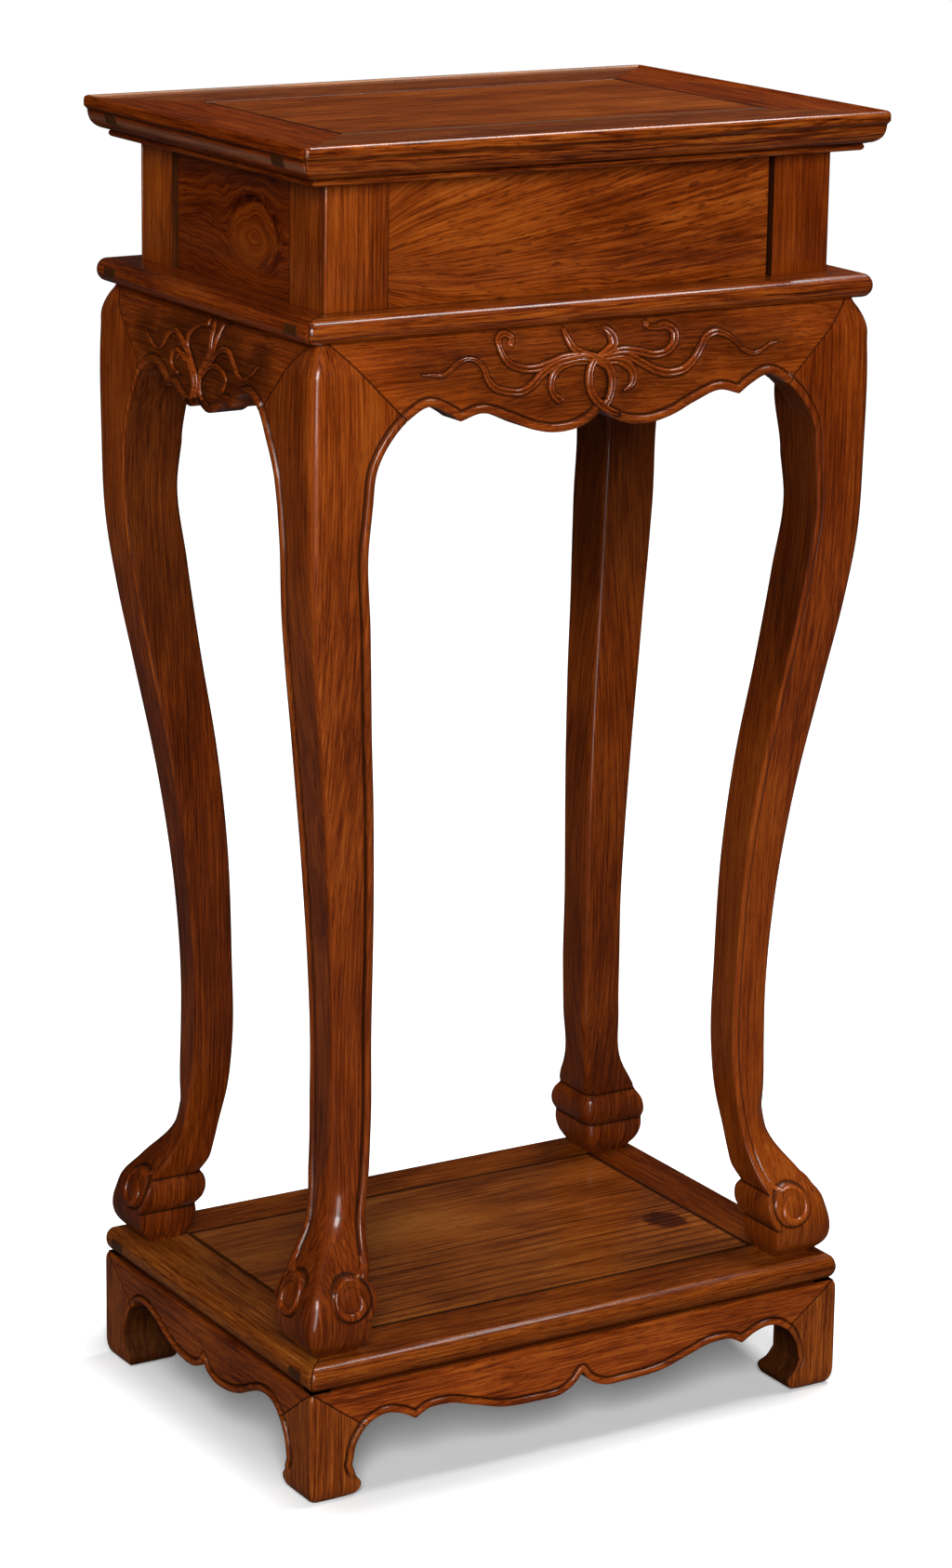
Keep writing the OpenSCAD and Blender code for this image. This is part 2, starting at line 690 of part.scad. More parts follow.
// A leg seen square on, as [inset, height over the base frame]: the arch runs up past the mitre
ear_reach = 72;
leg_bead_low = 54;
module leg_outline(arch, half, half_open) {
    rise = corner_arch(arch, half, half_open, leg_h, arch_depth, ear_reach);
    polygon(concat(leg_outer(), [[ear_reach, leg_h]], reversed(rise), leg_inner(), foot_roll()));
}

// Band along the inner edge of a leg's face, from the scroll up to the mitre
module leg_bead_outline(arch, half, half_open) {
    intersection() {
        edge_bead() leg_outline(arch, half, half_open);
        polygon(concat([for (p = leg_outer()) if (p[1] > leg_bead_low && p[1] < leg_h - bead_stop)
                            p + [2 * bead_w, 0]],
                       [[mitre_in, leg_h - bead_stop], [stock, leg_h - bead_stop], [stock, leg_bead_low]]));
    }
}

// Scroll carved on the foot: a round boss with a ridge that winds in from the bead's lower end
scroll_at = [toe_w * 0.84, roll_h * 0.739];
scroll_proud = 4.5;
scroll_face = 3.5;
scroll_deep = 26;
scroll_rim = 1.5;
scroll_low = 10;
scroll_high = 90;
scroll_turn = 380;
scroll_start = 40;
scroll_eye = 0.4;
function scroll_point(k, side) =
    let (s = k / spiral_steps, a = scroll_start + scroll_turn * s,
         r = scroll_r * (1 - s + scroll_eye * s), half = 0.9 + 1.2 * sin(180 * s))
    scroll_at + (r + side * half) * [cos(a), sin(a)];
module scroll_ridge() {
    polygon(concat([for (k = [0:spiral_steps]) scroll_point(k, 1)],
                   [for (k = [spiral_steps:-1:0]) scroll_point(k, -1)]));
}

// Body of a leg's foot from its outer line, moved out by what stands proud of it, inwards
module scroll_ground(proud) {
    polygon(concat([for (p = leg_outer()) if (p[1] > scroll_low && p[1] < scroll_high)
                        [max(p[0] - proud, scroll_face - proud + scroll_proud), p[1]]],
                   [[scroll_deep, scroll_high], [scroll_deep, scroll_low]]));
}
module scroll_boss() {
    intersection() {
        along_y(-end_over, scroll_deep) translate(scroll_at) circle(r = scroll_r + scroll_rim, $fn = 48);
        along_x(0, stock) scroll_ground(scroll_proud);
    }
    intersection() {
        along_y(-end_over, scroll_deep) scroll_ridge();
        along_x(0, stock) scroll_ground(scroll_proud + bead_rise);
    }
}

// Thin skin that follows the outer line of a leg and carries the bead
function skin() =
    concat([for (p = leg_outer()) p - [bead_rise, 0]],
           [for (p = reversed(leg_outer())) p + [bead_root, 0]]);

// One leg, drawn at the front left corner
module leg_body() {
    clear = [end_over, end_over, end_over];
    difference() {
        intersection() {
            along_y(0, stock) leg_outline(front_arch, leg_w / 2, front_open);
            along_x(0, stock) leg_outline(side_arch, leg_d / 2, side_open);
        }
        block([leg_face, apron_t, leg_h - arch_depth], [stock, stock, leg_h] + clear);
        block([apron_t, leg_face, leg_h - arch_depth], [stock, stock, leg_h] + clear);
    }
    intersection() {
        along_y(-end_over, stock / 2) leg_bead_outline(front_arch, leg_w / 2, front_open);
        along_x(0, stock) polygon(skin());
    }
    intersection() {
        along_x(-end_over, stock / 2) leg_bead_outline(side_arch, leg_d / 2, side_open);
        along_y(0, stock) polygon(skin());
    }
    scroll_boss();
    mirror([1, -1, 0]) scroll_boss();
}
module leg_shape(right, back) {
    at_corner(right, back) {
        difference() {
            translate([-leg_w / 2, -leg_d / 2, leg_z]) leg_body();
            along_y(-leg_d / 2 - end_over, apron_t - leg_d / 2)
                polygon(mitre_field(leg_w / 2, moulding_z, mitre_in, mitre_slope, apron_drop));
            along_x(-leg_w / 2 - end_over, apron_t - leg_w / 2)
                polygon(mitre_field(leg_d / 2, moulding_z, mitre_in, mitre_slope, apron_drop));
            front_apron_tenons(fit);
            side_apron_tenons(fit);
        }
        intersection() {
            union() {
                leg_tops(0);
                leg_bottoms(0);
            }
            block([-leg_w / 2, -leg_d / 2, 0], [0, 0, stand_h]);
        }
    }
}
module leg_front_left() { color(leg_brown) leg_shape(0, 0); }
module leg_front_right() { color(leg_brown) leg_shape(1, 0); }
module leg_back_left() { color(leg_brown) leg_shape(0, 1); }
module leg_back_right() { color(leg_brown) leg_shape(1, 1); }

// Frame of the base
through_up_base = (base_t - through_h) / 2;
module base_member_cuts() {
    flat_tongue(base_open_w, base_open_d, leg_z - base_panel_t, fit);
    base_batten_shape(fit);
    leg_bottoms(fit);
    foot_tops(fit);
}
module base_front_shape() {
    difference() {
        front_member(base_w, base_d, base_member, foot_h, base_t, bullnose(foot_h, base_t),
                     through_in_base, through_up_base);
        base_member_cuts();
    }
}
module base_left_shape() {
    difference() {
        left_member(base_w, base_d, base_member, foot_h, base_t, bullnose(foot_h, base_t),
                    through_in_base, through_up_base);
        base_member_cuts();
    }
}
module base_frame_front() { color(base_brown) base_front_shape(); }
module base_frame_back() { color(base_brown) mirror([0, 1, 0]) base_front_shape(); }
module base_frame_left() { color(base_brown) base_left_shape(); }
module base_frame_right() { color(base_brown) mirror([1, 0, 0]) base_left_shape(); }
module base_panel() {
    color(panel_brown) difference() {
        union() {
            flat_field(base_open_w, base_open_d, leg_z - base_panel_t, leg_z);
            flat_tongue(base_open_w, base_open_d, leg_z - base_panel_t, 0);
        }
        base_batten_shape(fit);
    }
}
module base_batten() {
    color(base_brown) batten(base_open_d, foot_h + base_batten_up, leg_z - base_panel_t - fit, 0);
}

// Aprons of the base
base_drop = 45;
base_mitre_in = 4;
base_slope = 0.75;
foot_front_open = base_w / 2 - foot_face;
foot_side_open = base_d / 2 - foot_face;
base_tenon_up = 26;
base_tenon_h = 14;
base_tenon_t = 5;
base_tenon_end = 14;

// Outline of a base apron and the tops of its feet
module base_lattice(lobes, arch, half, half_open) {
    edge = apron_edge(lobes, arch, half_open, foot_h, base_arch_depth);
    low = foot_h - base_arch_depth - 1;
    polygon(concat([[-half, foot_h], [-half, low]], [for (p = reversed(edge)) [-p[0], p[1]]], edge,
                   [[half, low], [half, foot_h]]));
}
module base_tenon_outline(half, grow) {
    translate([-(half - base_tenon_end) - grow, foot_h - base_tenon_up - grow])
        square([2 * (half - base_tenon_end + grow), base_tenon_h + 2 * grow]);
}
module front_base_tenons(grow) {
    translate([0, base_apron_t / 2 - base_d / 2, 0])
        along_y(-base_tenon_t / 2 - grow, base_tenon_t / 2 + grow) base_tenon_outline(base_w / 2, grow);
}
module side_base_tenons(grow) {
    translate([base_apron_t / 2 - base_w / 2, 0, 0])
        along_x(-base_tenon_t / 2 - grow, base_tenon_t / 2 + grow) base_tenon_outline(base_d / 2, grow);
}
module front_base_apron_shape() {
    intersection() {
        along_y(-base_d / 2, base_apron_t - base_d / 2) intersection() {
            base_lattice(base_front_lobes, base_front_arch, base_w / 2, foot_front_open);
            polygon(mitre_field(base_w / 2, foot_h, base_mitre_in, base_slope, base_drop));
        }
        along_x(-base_w / 2, base_w / 2)
            translate([-base_d / 2, 0]) polygon(base_apron_section(base_apron_t, foot_h, base_drop));
    }
    front_base_tenons(0);
}
module side_base_apron_shape() {
    intersection() {
        along_x(-base_w / 2, base_apron_t - base_w / 2) intersection() {
            base_lattice(base_side_lobes, base_side_arch, base_d / 2, foot_side_open);
            polygon(mitre_field(base_d / 2, foot_h, base_mitre_in, base_slope, base_drop));
        }
        along_y(-base_d / 2, base_d / 2)
            translate([-base_w / 2, 0]) polygon(base_apron_section(base_apron_t, foot_h, base_drop));
    }
    side_base_tenons(0);
}
module base_apron_front() { color(rail_brown) front_base_apron_shape(); }
module base_apron_back() { color(rail_brown) mirror([0, 1, 0]) front_base_apron_shape(); }
module base_apron_left() { color(rail_brown) side_base_apron_shape(); }
module base_apron_right() { color(rail_brown) mirror([1, 0, 0]) side_base_apron_shape(); }

// A foot seen square on, as [inset, height]
foot_reach = 60;
foot_ear_z = foot_h - base_arch_depth + 3;
module foot_outline(arch, half, half_open) {
    rise = corner_arch(arch, half, half_open, foot_h, base_arch_depth, foot_reach);
    polygon(concat(foot_outer(), [[foot_reach, foot_h]], reversed(rise), reversed(foot_inner())));
}
module foot_shape(right, back) {
    at_corner(right, back) {
        difference() {
            translate([-base_w / 2, -base_d / 2, 0]) difference() {
                intersection() {
                    along_y(0, stock) foot_outline(base_front_arch, base_w / 2, foot_front_open);
                    along_x(0, stock) foot_outline(base_side_arch, base_d / 2, foot_side_open);
                }
                block([foot_face, base_apron_t, foot_ear_z], [stock, stock, foot_h + end_over]);
                block([base_apron_t, foot_face, foot_ear_z], [stock, stock, foot_h + end_over]);
            }
            along_y(-base_d / 2 - end_over, base_apron_t - base_d / 2)
                polygon(mitre_field(base_w / 2, foot_h, base_mitre_in, base_slope, base_drop));
            along_x(-base_w / 2 - end_over, base_apron_t - base_w / 2)
                polygon(mitre_field(base_d / 2, foot_h, base_mitre_in, base_slope, base_drop));
            front_base_tenons(fit);
            side_base_tenons(fit);
        }
        intersection() {
            foot_tops(0);
            block([-base_w / 2, -base_d / 2, 0], [0, 0, stand_h]);
        }
    }
}
module foot_front_left() { color(leg_brown) foot_shape(0, 0); }
module foot_front_right() { color(leg_brown) foot_shape(1, 0); }
module foot_back_left() { color(leg_brown) foot_shape(0, 1); }
module foot_back_right() { color(leg_brown) foot_shape(1, 1); }

top_frame_front();
top_frame_back();
top_frame_left();
top_frame_right();
top_panel();
top_batten_left();
top_batten_right();
waist_post_front_left();
waist_post_front_right();
waist_post_back_left();
waist_post_back_right();
waist_panel_front();
waist_panel_back();
waist_panel_left();
waist_panel_right();
moulding_front();
moulding_back();
moulding_left();
moulding_right();
leg_front_left();
leg_front_right();
leg_back_left();
leg_back_right();
apron_front();
apron_back();
apron_left();
apron_right();
base_frame_front();
base_frame_back();
base_frame_left();
base_frame_right();
base_panel();
base_batten();
base_apron_front();
base_apron_back();
base_apron_left();
base_apron_right();
foot_front_left();
foot_front_right();
foot_back_left();
foot_back_right();
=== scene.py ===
import math

import bmesh
import bpy
import numpy as np
from mathutils import Matrix, Vector


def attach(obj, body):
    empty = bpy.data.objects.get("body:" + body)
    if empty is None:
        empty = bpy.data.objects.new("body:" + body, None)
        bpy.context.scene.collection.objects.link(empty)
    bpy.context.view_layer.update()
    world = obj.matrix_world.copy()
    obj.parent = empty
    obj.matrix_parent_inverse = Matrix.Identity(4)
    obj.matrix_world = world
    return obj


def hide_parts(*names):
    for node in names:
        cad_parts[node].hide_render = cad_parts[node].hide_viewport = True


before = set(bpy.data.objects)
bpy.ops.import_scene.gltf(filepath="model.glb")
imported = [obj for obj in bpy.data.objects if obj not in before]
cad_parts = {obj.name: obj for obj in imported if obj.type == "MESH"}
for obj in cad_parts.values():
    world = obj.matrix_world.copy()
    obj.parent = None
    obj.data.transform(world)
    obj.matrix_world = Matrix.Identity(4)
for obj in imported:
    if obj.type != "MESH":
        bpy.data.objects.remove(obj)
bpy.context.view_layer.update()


# Sizes in millimetres, as in the construction: X along the long front, -Y the front, Z up
LEG_W, LEG_D = 447.0, 312.0
LEG_H, LEG_FACE, ANKLE_IN, ANKLE_T = 711.0, 48.0, 41.5, 30.0
TOE_W, ROLL_H = 46.0, 59.0
ARCH_DEPTH, ARCH_IN, BASE_ARCH_DEPTH = 112.0, 2.8, 57.0
SHOULDER_H, FOOT_SHOULDER_H = 32.0, 8.0
MOULDING_T, WAIST_H, TOP_T, BASE_T, FOOT_H, FOOT_FACE = 17.0, 85.0, 28.0, 20.0, 82.0, 34.0
LEG_Z = FOOT_H + BASE_T
MOULDING_Z = LEG_Z + LEG_H
WAIST_Z = MOULDING_Z + MOULDING_T
TOP_Z = WAIST_Z + WAIST_H
STAND_H = TOP_Z + TOP_T
MOULDING_W, MOULDING_D = LEG_W + 6, LEG_D - 2
WAIST_W, WAIST_D = LEG_W - 45, LEG_D - 49
TOP_W, TOP_D = LEG_W + 19, LEG_D + 8
BASE_W, BASE_D = LEG_W, LEG_D + 6
TOP_MEMBER, MOULDING_MEMBER, BASE_MEMBER = 65.0, 60.0, 48.0
LIP_W, LIP_H = 5.0, 1.5
POST_W, POST_T = 48.0, 28.0
APRON_T, BASE_APRON_T = 22.0, 18.0

FRAME_CORNER_R = 5.0
FOOT_SET_IN = 1.0
TOP_BOARD_T, BASE_BOARD_T = 10.0, 11.0

# Through tenons of the frames: size, how far their ends stand proud and reach in, and place in from
# the front and up from the underside
THROUGH_W, THROUGH_H = 17.0, 7.0
THROUGH_PROUD, THROUGH_IN = 0.12, 2.0
TOP_TENON, MOULDING_TENON, BASE_TENON = (32, 11.5), (16, 5), (14, 6.5)

# Dark line left at a joint, and softness of a worn arris
JOINT = 0.1
ARRIS = 0.5

# Creases of the top's moulding: their heights, the width of the dark line drawn in them, and how far in it
# may lie
TOP_CREASES = (TOP_Z + 19, TOP_Z + 5)
CREASE_DARK_W, CREASE_IN = 0.8, 18.0
# How dark the inner arris of the top's members is at the joint, where less than 0 is a painted
# highlight, and other arrises painted pale as highlight and sheen, as (inset, height, how much, how far)
TOP_JOINT = {"front": -0.6, "back": 0.3, "left": 0.75, "right": 0.75}
TOP_SHEEN = {"back": ((LIP_W, STAND_H - 0.6, 0.8, 0.8),), "left": ((3.2, TOP_Z + 13.5, 0.16, 2.4),)}

# Groove beside the raised bead: depth, distance from the bead, and width; and the dark line drawn in it
GROOVE_DEPTH, GROOVE_OFF, GROOVE_W = 0.9, 0.7, 0.8
GROOVE_DARK_OFF, GROOVE_DARK_W = 0.5, 0.85
# Depth of the sunk ground beside the carving, and the distance between the columns of an apron
GROUND_SUNK = 0.5
COLUMN = 0.9


# Curves

def unit(vector):
    """The same direction with a length of 1."""
    return vector / np.linalg.norm(vector)


def smooth(points, steps=10):
    """The same smooth curve through the points as in the construction."""
    points = np.array(points, float)
    headings = [unit(points[1] - points[0])]
    for before, here, after in zip(points, points[1:], points[2:]):
        near, far = np.linalg.norm(here - before), np.linalg.norm(after - here)
        headings.append((unit(here - before) * far + unit(after - here) * near) / (near + far))
    headings.append(unit(points[-1] - points[-2]))
    line = []
    for start, end, leave, arrive in zip(points, points[1:], headings, headings[1:]):
        pull = np.linalg.norm(end - start)
        for k in range(steps):
            t = k / steps
            line.append((2 * t ** 3 - 3 * t ** 2 + 1) * start + (t ** 3 - 2 * t ** 2 + t) * leave * pull
                        + (3 * t ** 2 - 2 * t ** 3) * end + (t ** 3 - t ** 2) * arrive * pull)
    line.append(points[-1])
    return np.array(line)


def scaled(points, wide, high):
    """Points given as shares of a width and a height."""
    return np.array(points, float) * [wide, high]


def arc(centre, rx, rz, start, end, steps=10):
    """Points round part of a circle or oval, from one angle in degrees to another."""
    angle = np.radians(np.linspace(start, end, steps + 1))
    return np.stack([centre[0] + rx * np.cos(angle), centre[1] + rz * np.sin(angle)], 1)


def ramp(x, low, high):
    """Soft step from 0 at low to 1 at high."""
    t = np.clip((np.asarray(x, float) - low) / (high - low), 0, 1)
    return t * t * (3 - 2 * t)


def hump(x, at, reach):
    """Soft hump that is 1 at a place and fades away over a distance."""
    return np.exp(-((x - at) / reach) ** 2)


def run_along(line):
    """How far along a line each of its points lies."""
    return np.concatenate([[0], np.cumsum(np.hypot(*np.diff(line, axis=0).T))])


def distance_to(line, points, shares=None):
    """Shortest distance from each point to a line, and the line's share at that place if it has shares."""
    best, share = np.full(len(points), 1e9), np.zeros(len(points))
    for i, (a, b) in enumerate(zip(line, line[1:])):
        ab = b - a
        t = np.clip(((points - a) @ ab) / max(ab @ ab, 1e-9), 0, 1)
        away = np.hypot(*(points - a - t[:, None] * ab).T)
        if shares is not None:
            share = np.where(away < best, shares[i] + (shares[i + 1] - shares[i]) * t, share)
        best = np.minimum(best, away)
    return best if shares is None else (best, share)


# Nodes

class Socket:
    """A node's output. An expression on it adds the Math nodes that work it out."""

    def __init__(self, nodes, output):
        self.nodes, self.output = nodes, output

    def other(self, name):
        return Socket(self.nodes, self.output.node.outputs[name])

    def math(self, operation, *values):
        return self.nodes.add("ShaderNodeMath", {"operation": operation}, dict(enumerate(values)))

    def __add__(self, other):
        return self.math("ADD", self, other)

    def __radd__(self, other):
        return self.math("ADD", other, self)

    def __sub__(self, other):
        return self.math("SUBTRACT", self, other)

    def __rsub__(self, other):
        return self.math("SUBTRACT", other, self)

    def __mul__(self, other):
        return self.math("MULTIPLY", self, other)

    def __rmul__(self, other):
        return self.math("MULTIPLY", other, self)

    def __truediv__(self, other):
        return self.math("DIVIDE", self, other)

    def __rtruediv__(self, other):
        return self.math("DIVIDE", other, self)

    def __pow__(self, other):
        return self.math("POWER", self, other)

    def __abs__(self):
        return self.math("ABSOLUTE", self)

    def __neg__(self):
        return self.math("MULTIPLY", self, -1)

    def at_least(self, other):
        return self.math("MAXIMUM", self, other)

    def at_most(self, other):
        return self.math("MINIMUM", self, other)

    def between(self, low, high):
        """Soft step from 0 at low to 1 at high."""
        return self.nodes.add("ShaderNodeMapRange", {"interpolation_type": "SMOOTHSTEP"},
                              {"Value": self, "From Min": low, "From Max": high})


class Nodes:
    """Adds nodes to a tree: a node's type, its settings, which are set first, then its sockets."""

    def __init__(self, tree):
        self.tree = tree

    def add(self, kind, settings=None, sockets=None, out=0):
        node = self.tree.nodes.new(kind)
        for key, value in (settings or {}).items():
            if key == "stops":
                stops = node.color_ramp.elements
                stops[0].position, stops[0].color = value[0][0], (*value[0][1], 1)
                stops[1].position, stops[1].color = value[-1][0], (*value[-1][1], 1)
                for at, colour in value[1:-1]:
                    stops.new(at).color = (*colour, 1)
            else:
                setattr(node, key, value)
        for key, value in (sockets or {}).items():
            if isinstance(value, Socket):
                self.tree.links.new(value.output, node.inputs[key])
            else:
                node.inputs[key].default_value = value
        return Socket(self, node.outputs[out] if node.outputs else None)

    def vector(self, x, y, z):
        return self.add("ShaderNodeCombineXYZ", None, {0: x, 1: y, 2: z})

    def noise(self, x, y, z, detail=2.0, roughness=0.5):
        """Noise from 0 to 1 whose grains are about one unit long along x, y and z."""
        return self.add("ShaderNodeTexNoise", None, {
            "Vector": self.vector(x, y, z), "Scale": 1.0, "Detail": detail, "Roughness": roughness})

    def blend(self, factor, first, second):
        """Colour that goes from the first to the second as the factor goes from 0 to 1."""
        return self.add("ShaderNodeMix", {"data_type": "RGBA"}, {0: factor, 6: first, 7: second}, 2)


def fresh_nodes(owner):
    """The emptied node tree of a material or the world."""
    owner.use_nodes = True
    owner.node_tree.nodes.clear()
    return Nodes(owner.node_tree)


# Carved strands: a ridge swept along flat curves, which is then laid on a face

# Section of the ridge: half the width of the hollow in its back, as a share, how full its sides are, how
# many points it has, and the share of its height below which painted shade lies on it
HOLLOW_HALF, FULLNESS, SECTION_POINTS, SHADED_LEVEL = 0.42, 0.85, 40, 0.42


def ridge_tree():
    """Sweeps a ridge along curves. Its inputs are the ridge's width and height, how deep its root goes
    into the face, how deep the hollow in its back is, and its material."""
    tree = bpy.data.node_groups.new("carved ridge", "GeometryNodeTree")
    for name, kind in (("Strands", "Geometry"), ("Width", "Float"), ("Height", "Float"), ("Root", "Float"),
                       ("Groove", "Float"), ("Material", "Material")):
        tree.interface.new_socket(name, in_out="INPUT", socket_type="NodeSocket" + kind)
    tree.interface.new_socket("Ridges", in_out="OUTPUT", socket_type="NodeSocketGeometry")
    n = Nodes(tree)
    given = tree.nodes.new("NodeGroupInput")
    strands, width, height, root, groove, material = [Socket(n, given.outputs[i]) for i in range(6)]
    spot = n.add("ShaderNodeSeparateXYZ", None, {0: n.add("GeometryNodeInputPosition")})
    across, up = spot, spot.other("Y")
    hollow = groove * (1 - abs(across) / HOLLOW_HALF).at_least(0)
    crest = up.at_least(0) ** FULLNESS * (1 - hollow)
    shape = n.vector(across * width * 0.5, -(crest * height) - up.at_most(0) * root, 0)
    # The hollow is drawn dark, and painted shade lies low on the sides where the ridge meets the face
    profile = n.add("GeometryNodeStoreNamedAttribute", {"data_type": "FLOAT", "domain": "POINT"}, {
        "Geometry": n.add("GeometryNodeCurvePrimitiveCircle", None,
                          {"Resolution": SECTION_POINTS, "Radius": 1.0}),
        "Name": "grime", "Value": (hollow * 0.9).at_least((SHADED_LEVEL - up) * 2.2).at_most(1)})
    profile = n.add("GeometryNodeSetPosition", None, {"Geometry": profile, "Position": shape})
    upright = n.add("GeometryNodeSetCurveNormal", {"mode": "Z_UP"}, {"Curve": strands})
    swept = n.add("GeometryNodeCurveToMesh", None, {
        "Curve": upright, "Profile Curve": profile, "Scale": n.add("GeometryNodeInputRadius"),
        "Fill Caps": True})
    real = n.add("GeometryNodeRealizeInstances", None, {0: swept})
    dressed = n.add("GeometryNodeSetMaterial", None, {"Geometry": real, "Material": material})
    n.add("NodeGroupOutput", None, {0: dressed})
    return tree


RIDGE = ridge_tree()


def ridges(name, strands, width, height, groove, material, lay, root=1.0):
    """Strands as (line, shares of the width), swept as ridges; lay(u, v, out) puts them on the face."""
    paths = bpy.data.curves.new(name, "CURVE")
    paths.dimensions = "3D"
    for line, shares in strands:
        spline = paths.splines.new("POLY")
        spline.points.add(len(line) - 1)
        flat = np.zeros((len(line), 4))
        flat[:, :line.shape[1]] = line
        spline.points.foreach_set("co", flat.ravel())
        spline.points.foreach_set("radius", shares)
    guide = bpy.data.objects.new(name + "_lines", paths)
    bpy.context.scene.collection.objects.link(guide)
    modifier = guide.modifiers.new("ridge", "NODES")
    modifier.node_group = RIDGE
    values = {"Width": width, "Height": height, "Root": root, "Groove": groove, "Material": material}
    for socket in RIDGE.interface.items_tree:
        if socket.name in values:
            modifier[socket.identifier] = values[socket.name]
    graph = bpy.context.evaluated_depsgraph_get()
    mesh = bpy.data.meshes.new_from_object(guide.evaluated_get(graph), depsgraph=graph)
    guide.modifiers.clear()
    bpy.data.objects.remove(guide)
    points = np.empty(len(mesh.vertices) * 3, np.float32)
    mesh.vertices.foreach_get("co", points)
    laid = lay(*points.reshape(-1, 3).T.astype(float)) * 0.001
    mesh.vertices.foreach_set("co", laid.ravel())
    return fitted(name, None, mesh, sharp=50)


def strand(points, stops, blunt_start=False, blunt_end=False, over=0.0):
    """A smooth line through the points, lifted over the ground by over, with its share of the full
    width by (place along it, share). A blunt end is round."""
    line = smooth(points, 12)
    run = run_along(line)
    shares = np.interp(run / run[-1], *np.array(stops, float).T)
    for blunt, gap in ((blunt_start, run), (blunt_end, run[-1] - run)):
        if blunt:
            r = shares * BLUNT_W / 2
            shares = shares * np.sqrt(np.clip(1 - np.clip(1 - gap / r, 0, 1) ** 2, 0.01, 1))
    return np.column_stack([line, np.full(len(line), over)]), shares


# Meshes

def piece(name, node, verts, faces, material, grime=None, sharp=30):
    """A closed mesh from points in millimetres, with the darkness at each: dirt and painted shade above 0,
    painted highlight below it. Faces that meet at more than the sharp angle meet in an arris."""
    mesh = bpy.data.meshes.new(name)
    mesh.from_pydata((np.asarray(verts) * 0.001).tolist(), [], [list(f) for f in faces])
    shade = mesh.attributes.new("grime", "FLOAT", "POINT")
    if grime is not None:
        shade.data.foreach_set("value", np.asarray(grime, np.float32).ravel())
    mesh.materials.append(material)
    return fitted(name, node, mesh, sharp)


def fitted(name, node, mesh, sharp):
    """Close the mesh, turn its faces outwards, smooth it up to its arrises and put it on the stand."""
    bm = bmesh.new()
    bm.from_mesh(mesh)
    bmesh.ops.remove_doubles(bm, verts=bm.verts, dist=4e-6)
    bmesh.ops.dissolve_degenerate(bm, edges=bm.edges, dist=1e-7)
    bmesh.ops.recalc_face_normals(bm, faces=bm.faces)
    bm.to_mesh(mesh)
    bm.free()
    mesh.shade_smooth()
    mesh.set_sharp_from_angle(angle=math.radians(sharp))
    obj = bpy.data.objects.new(name, mesh)
    bpy.context.scene.collection.objects.link(obj)
    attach(obj, "root")
    if node:
        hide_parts(node)
    return obj


def loft(loops, start=0):
    """Faces that join closed loops of as many points each, with both ends closed."""
    n, m = len(loops), len(loops[0])
    faces = [(start + i * m + j, start + i * m + (j + 1) % m,
              start + (i + 1) * m + (j + 1) % m, start + (i + 1) * m + j)
             for i in range(n - 1) for j in range(m)]
    faces.append(tuple(start + j for j in range(m)))
    faces.append(tuple(start + (n - 1) * m + j for j in range(m)))
    return faces


def shrunk(section, by):
    """A closed section drawn in by a distance, for a worn arris at its end."""
    centre = (section.max(0) + section.min(0)) / 2
    half = np.maximum((section.max(0) - section.min(0)) / 2, 1)
    return centre + (section - centre) * (1 - by / half)


# Frames: four members with a moulded edge and mitred corners

def member(name, node, material, width, depth, section, side, joint=0.85, creases=(), painted_sheen=()):
    """One member of a frame. Its section is [inset, height]; side is front, back, left or right; joint
    is how dark its inner arris is, and below 0 a painted highlight there; creases the heights of the
    grooves in its edge, where a dark line is drawn; and painted_sheen the points of its section that
    are painted pale as highlight and sheen, with how much and how far."""
    across, along = (depth, width) if side in ("front", "back") else (width, depth)
    loops, grime = [], []
    lined = np.zeros(len(section))
    # A dark line drawn along each groove
    for at in creases:
        lined = lined + 0.9 * hump(section[:, 1], at, CREASE_DARK_W) * (section[:, 0] < CREASE_IN)
    # Painted highlight and sheen at the points given
    for at_inset, at_z, amount, reach in painted_sheen:
        lined = lined - amount * hump(np.hypot(section[:, 0] - at_inset, section[:, 1] - at_z), 0, reach)

    def ring(end, angle, back, draw, dark):
        inset, z = shrunk(section, draw).T if draw else section.T
        round_r = np.maximum(FRAME_CORNER_R - inset, 0)
        u = np.where(round_r > 0, along / 2 - FRAME_CORNER_R + round_r * math.sin(angle), along / 2 - inset)
        v = np.where(round_r > 0, FRAME_CORNER_R - round_r * math.cos(angle), inset)
        loops.append(np.stack([end * (u - back - JOINT), v - across / 2, z], 1))
        shade = np.where(lined < 0, lined, np.maximum(lined, float(dark)))
        # The inner arris: dark at the joint, and a painted highlight where joint is below 0
        shade[-3:] = joint if abs(joint) > dark else dark
        grime.append(shade)

    mitre = math.radians(45)
    at_mitre = [(0, ARRIS, 1), (0, ARRIS * 0.3, 1), (0.3, 0, 0.7), (0.8, 0, 0)]
    for back, draw, dark in at_mitre:
        ring(-1, mitre, back, draw, dark)
    for share in (0.75, 0.5, 0.25, 0):
        ring(-1, mitre * share, 0.8, 0, 0)
    for share in (0, 0.25, 0.5, 0.75):
        ring(1, mitre * share, 0.8, 0, 0)
    for back, draw, dark in reversed(at_mitre):
        ring(1, mitre, back, draw, dark)
    verts = turned(np.concatenate(loops), side)
    return piece(name, node, verts, loft(loops), material, np.concatenate(grime))


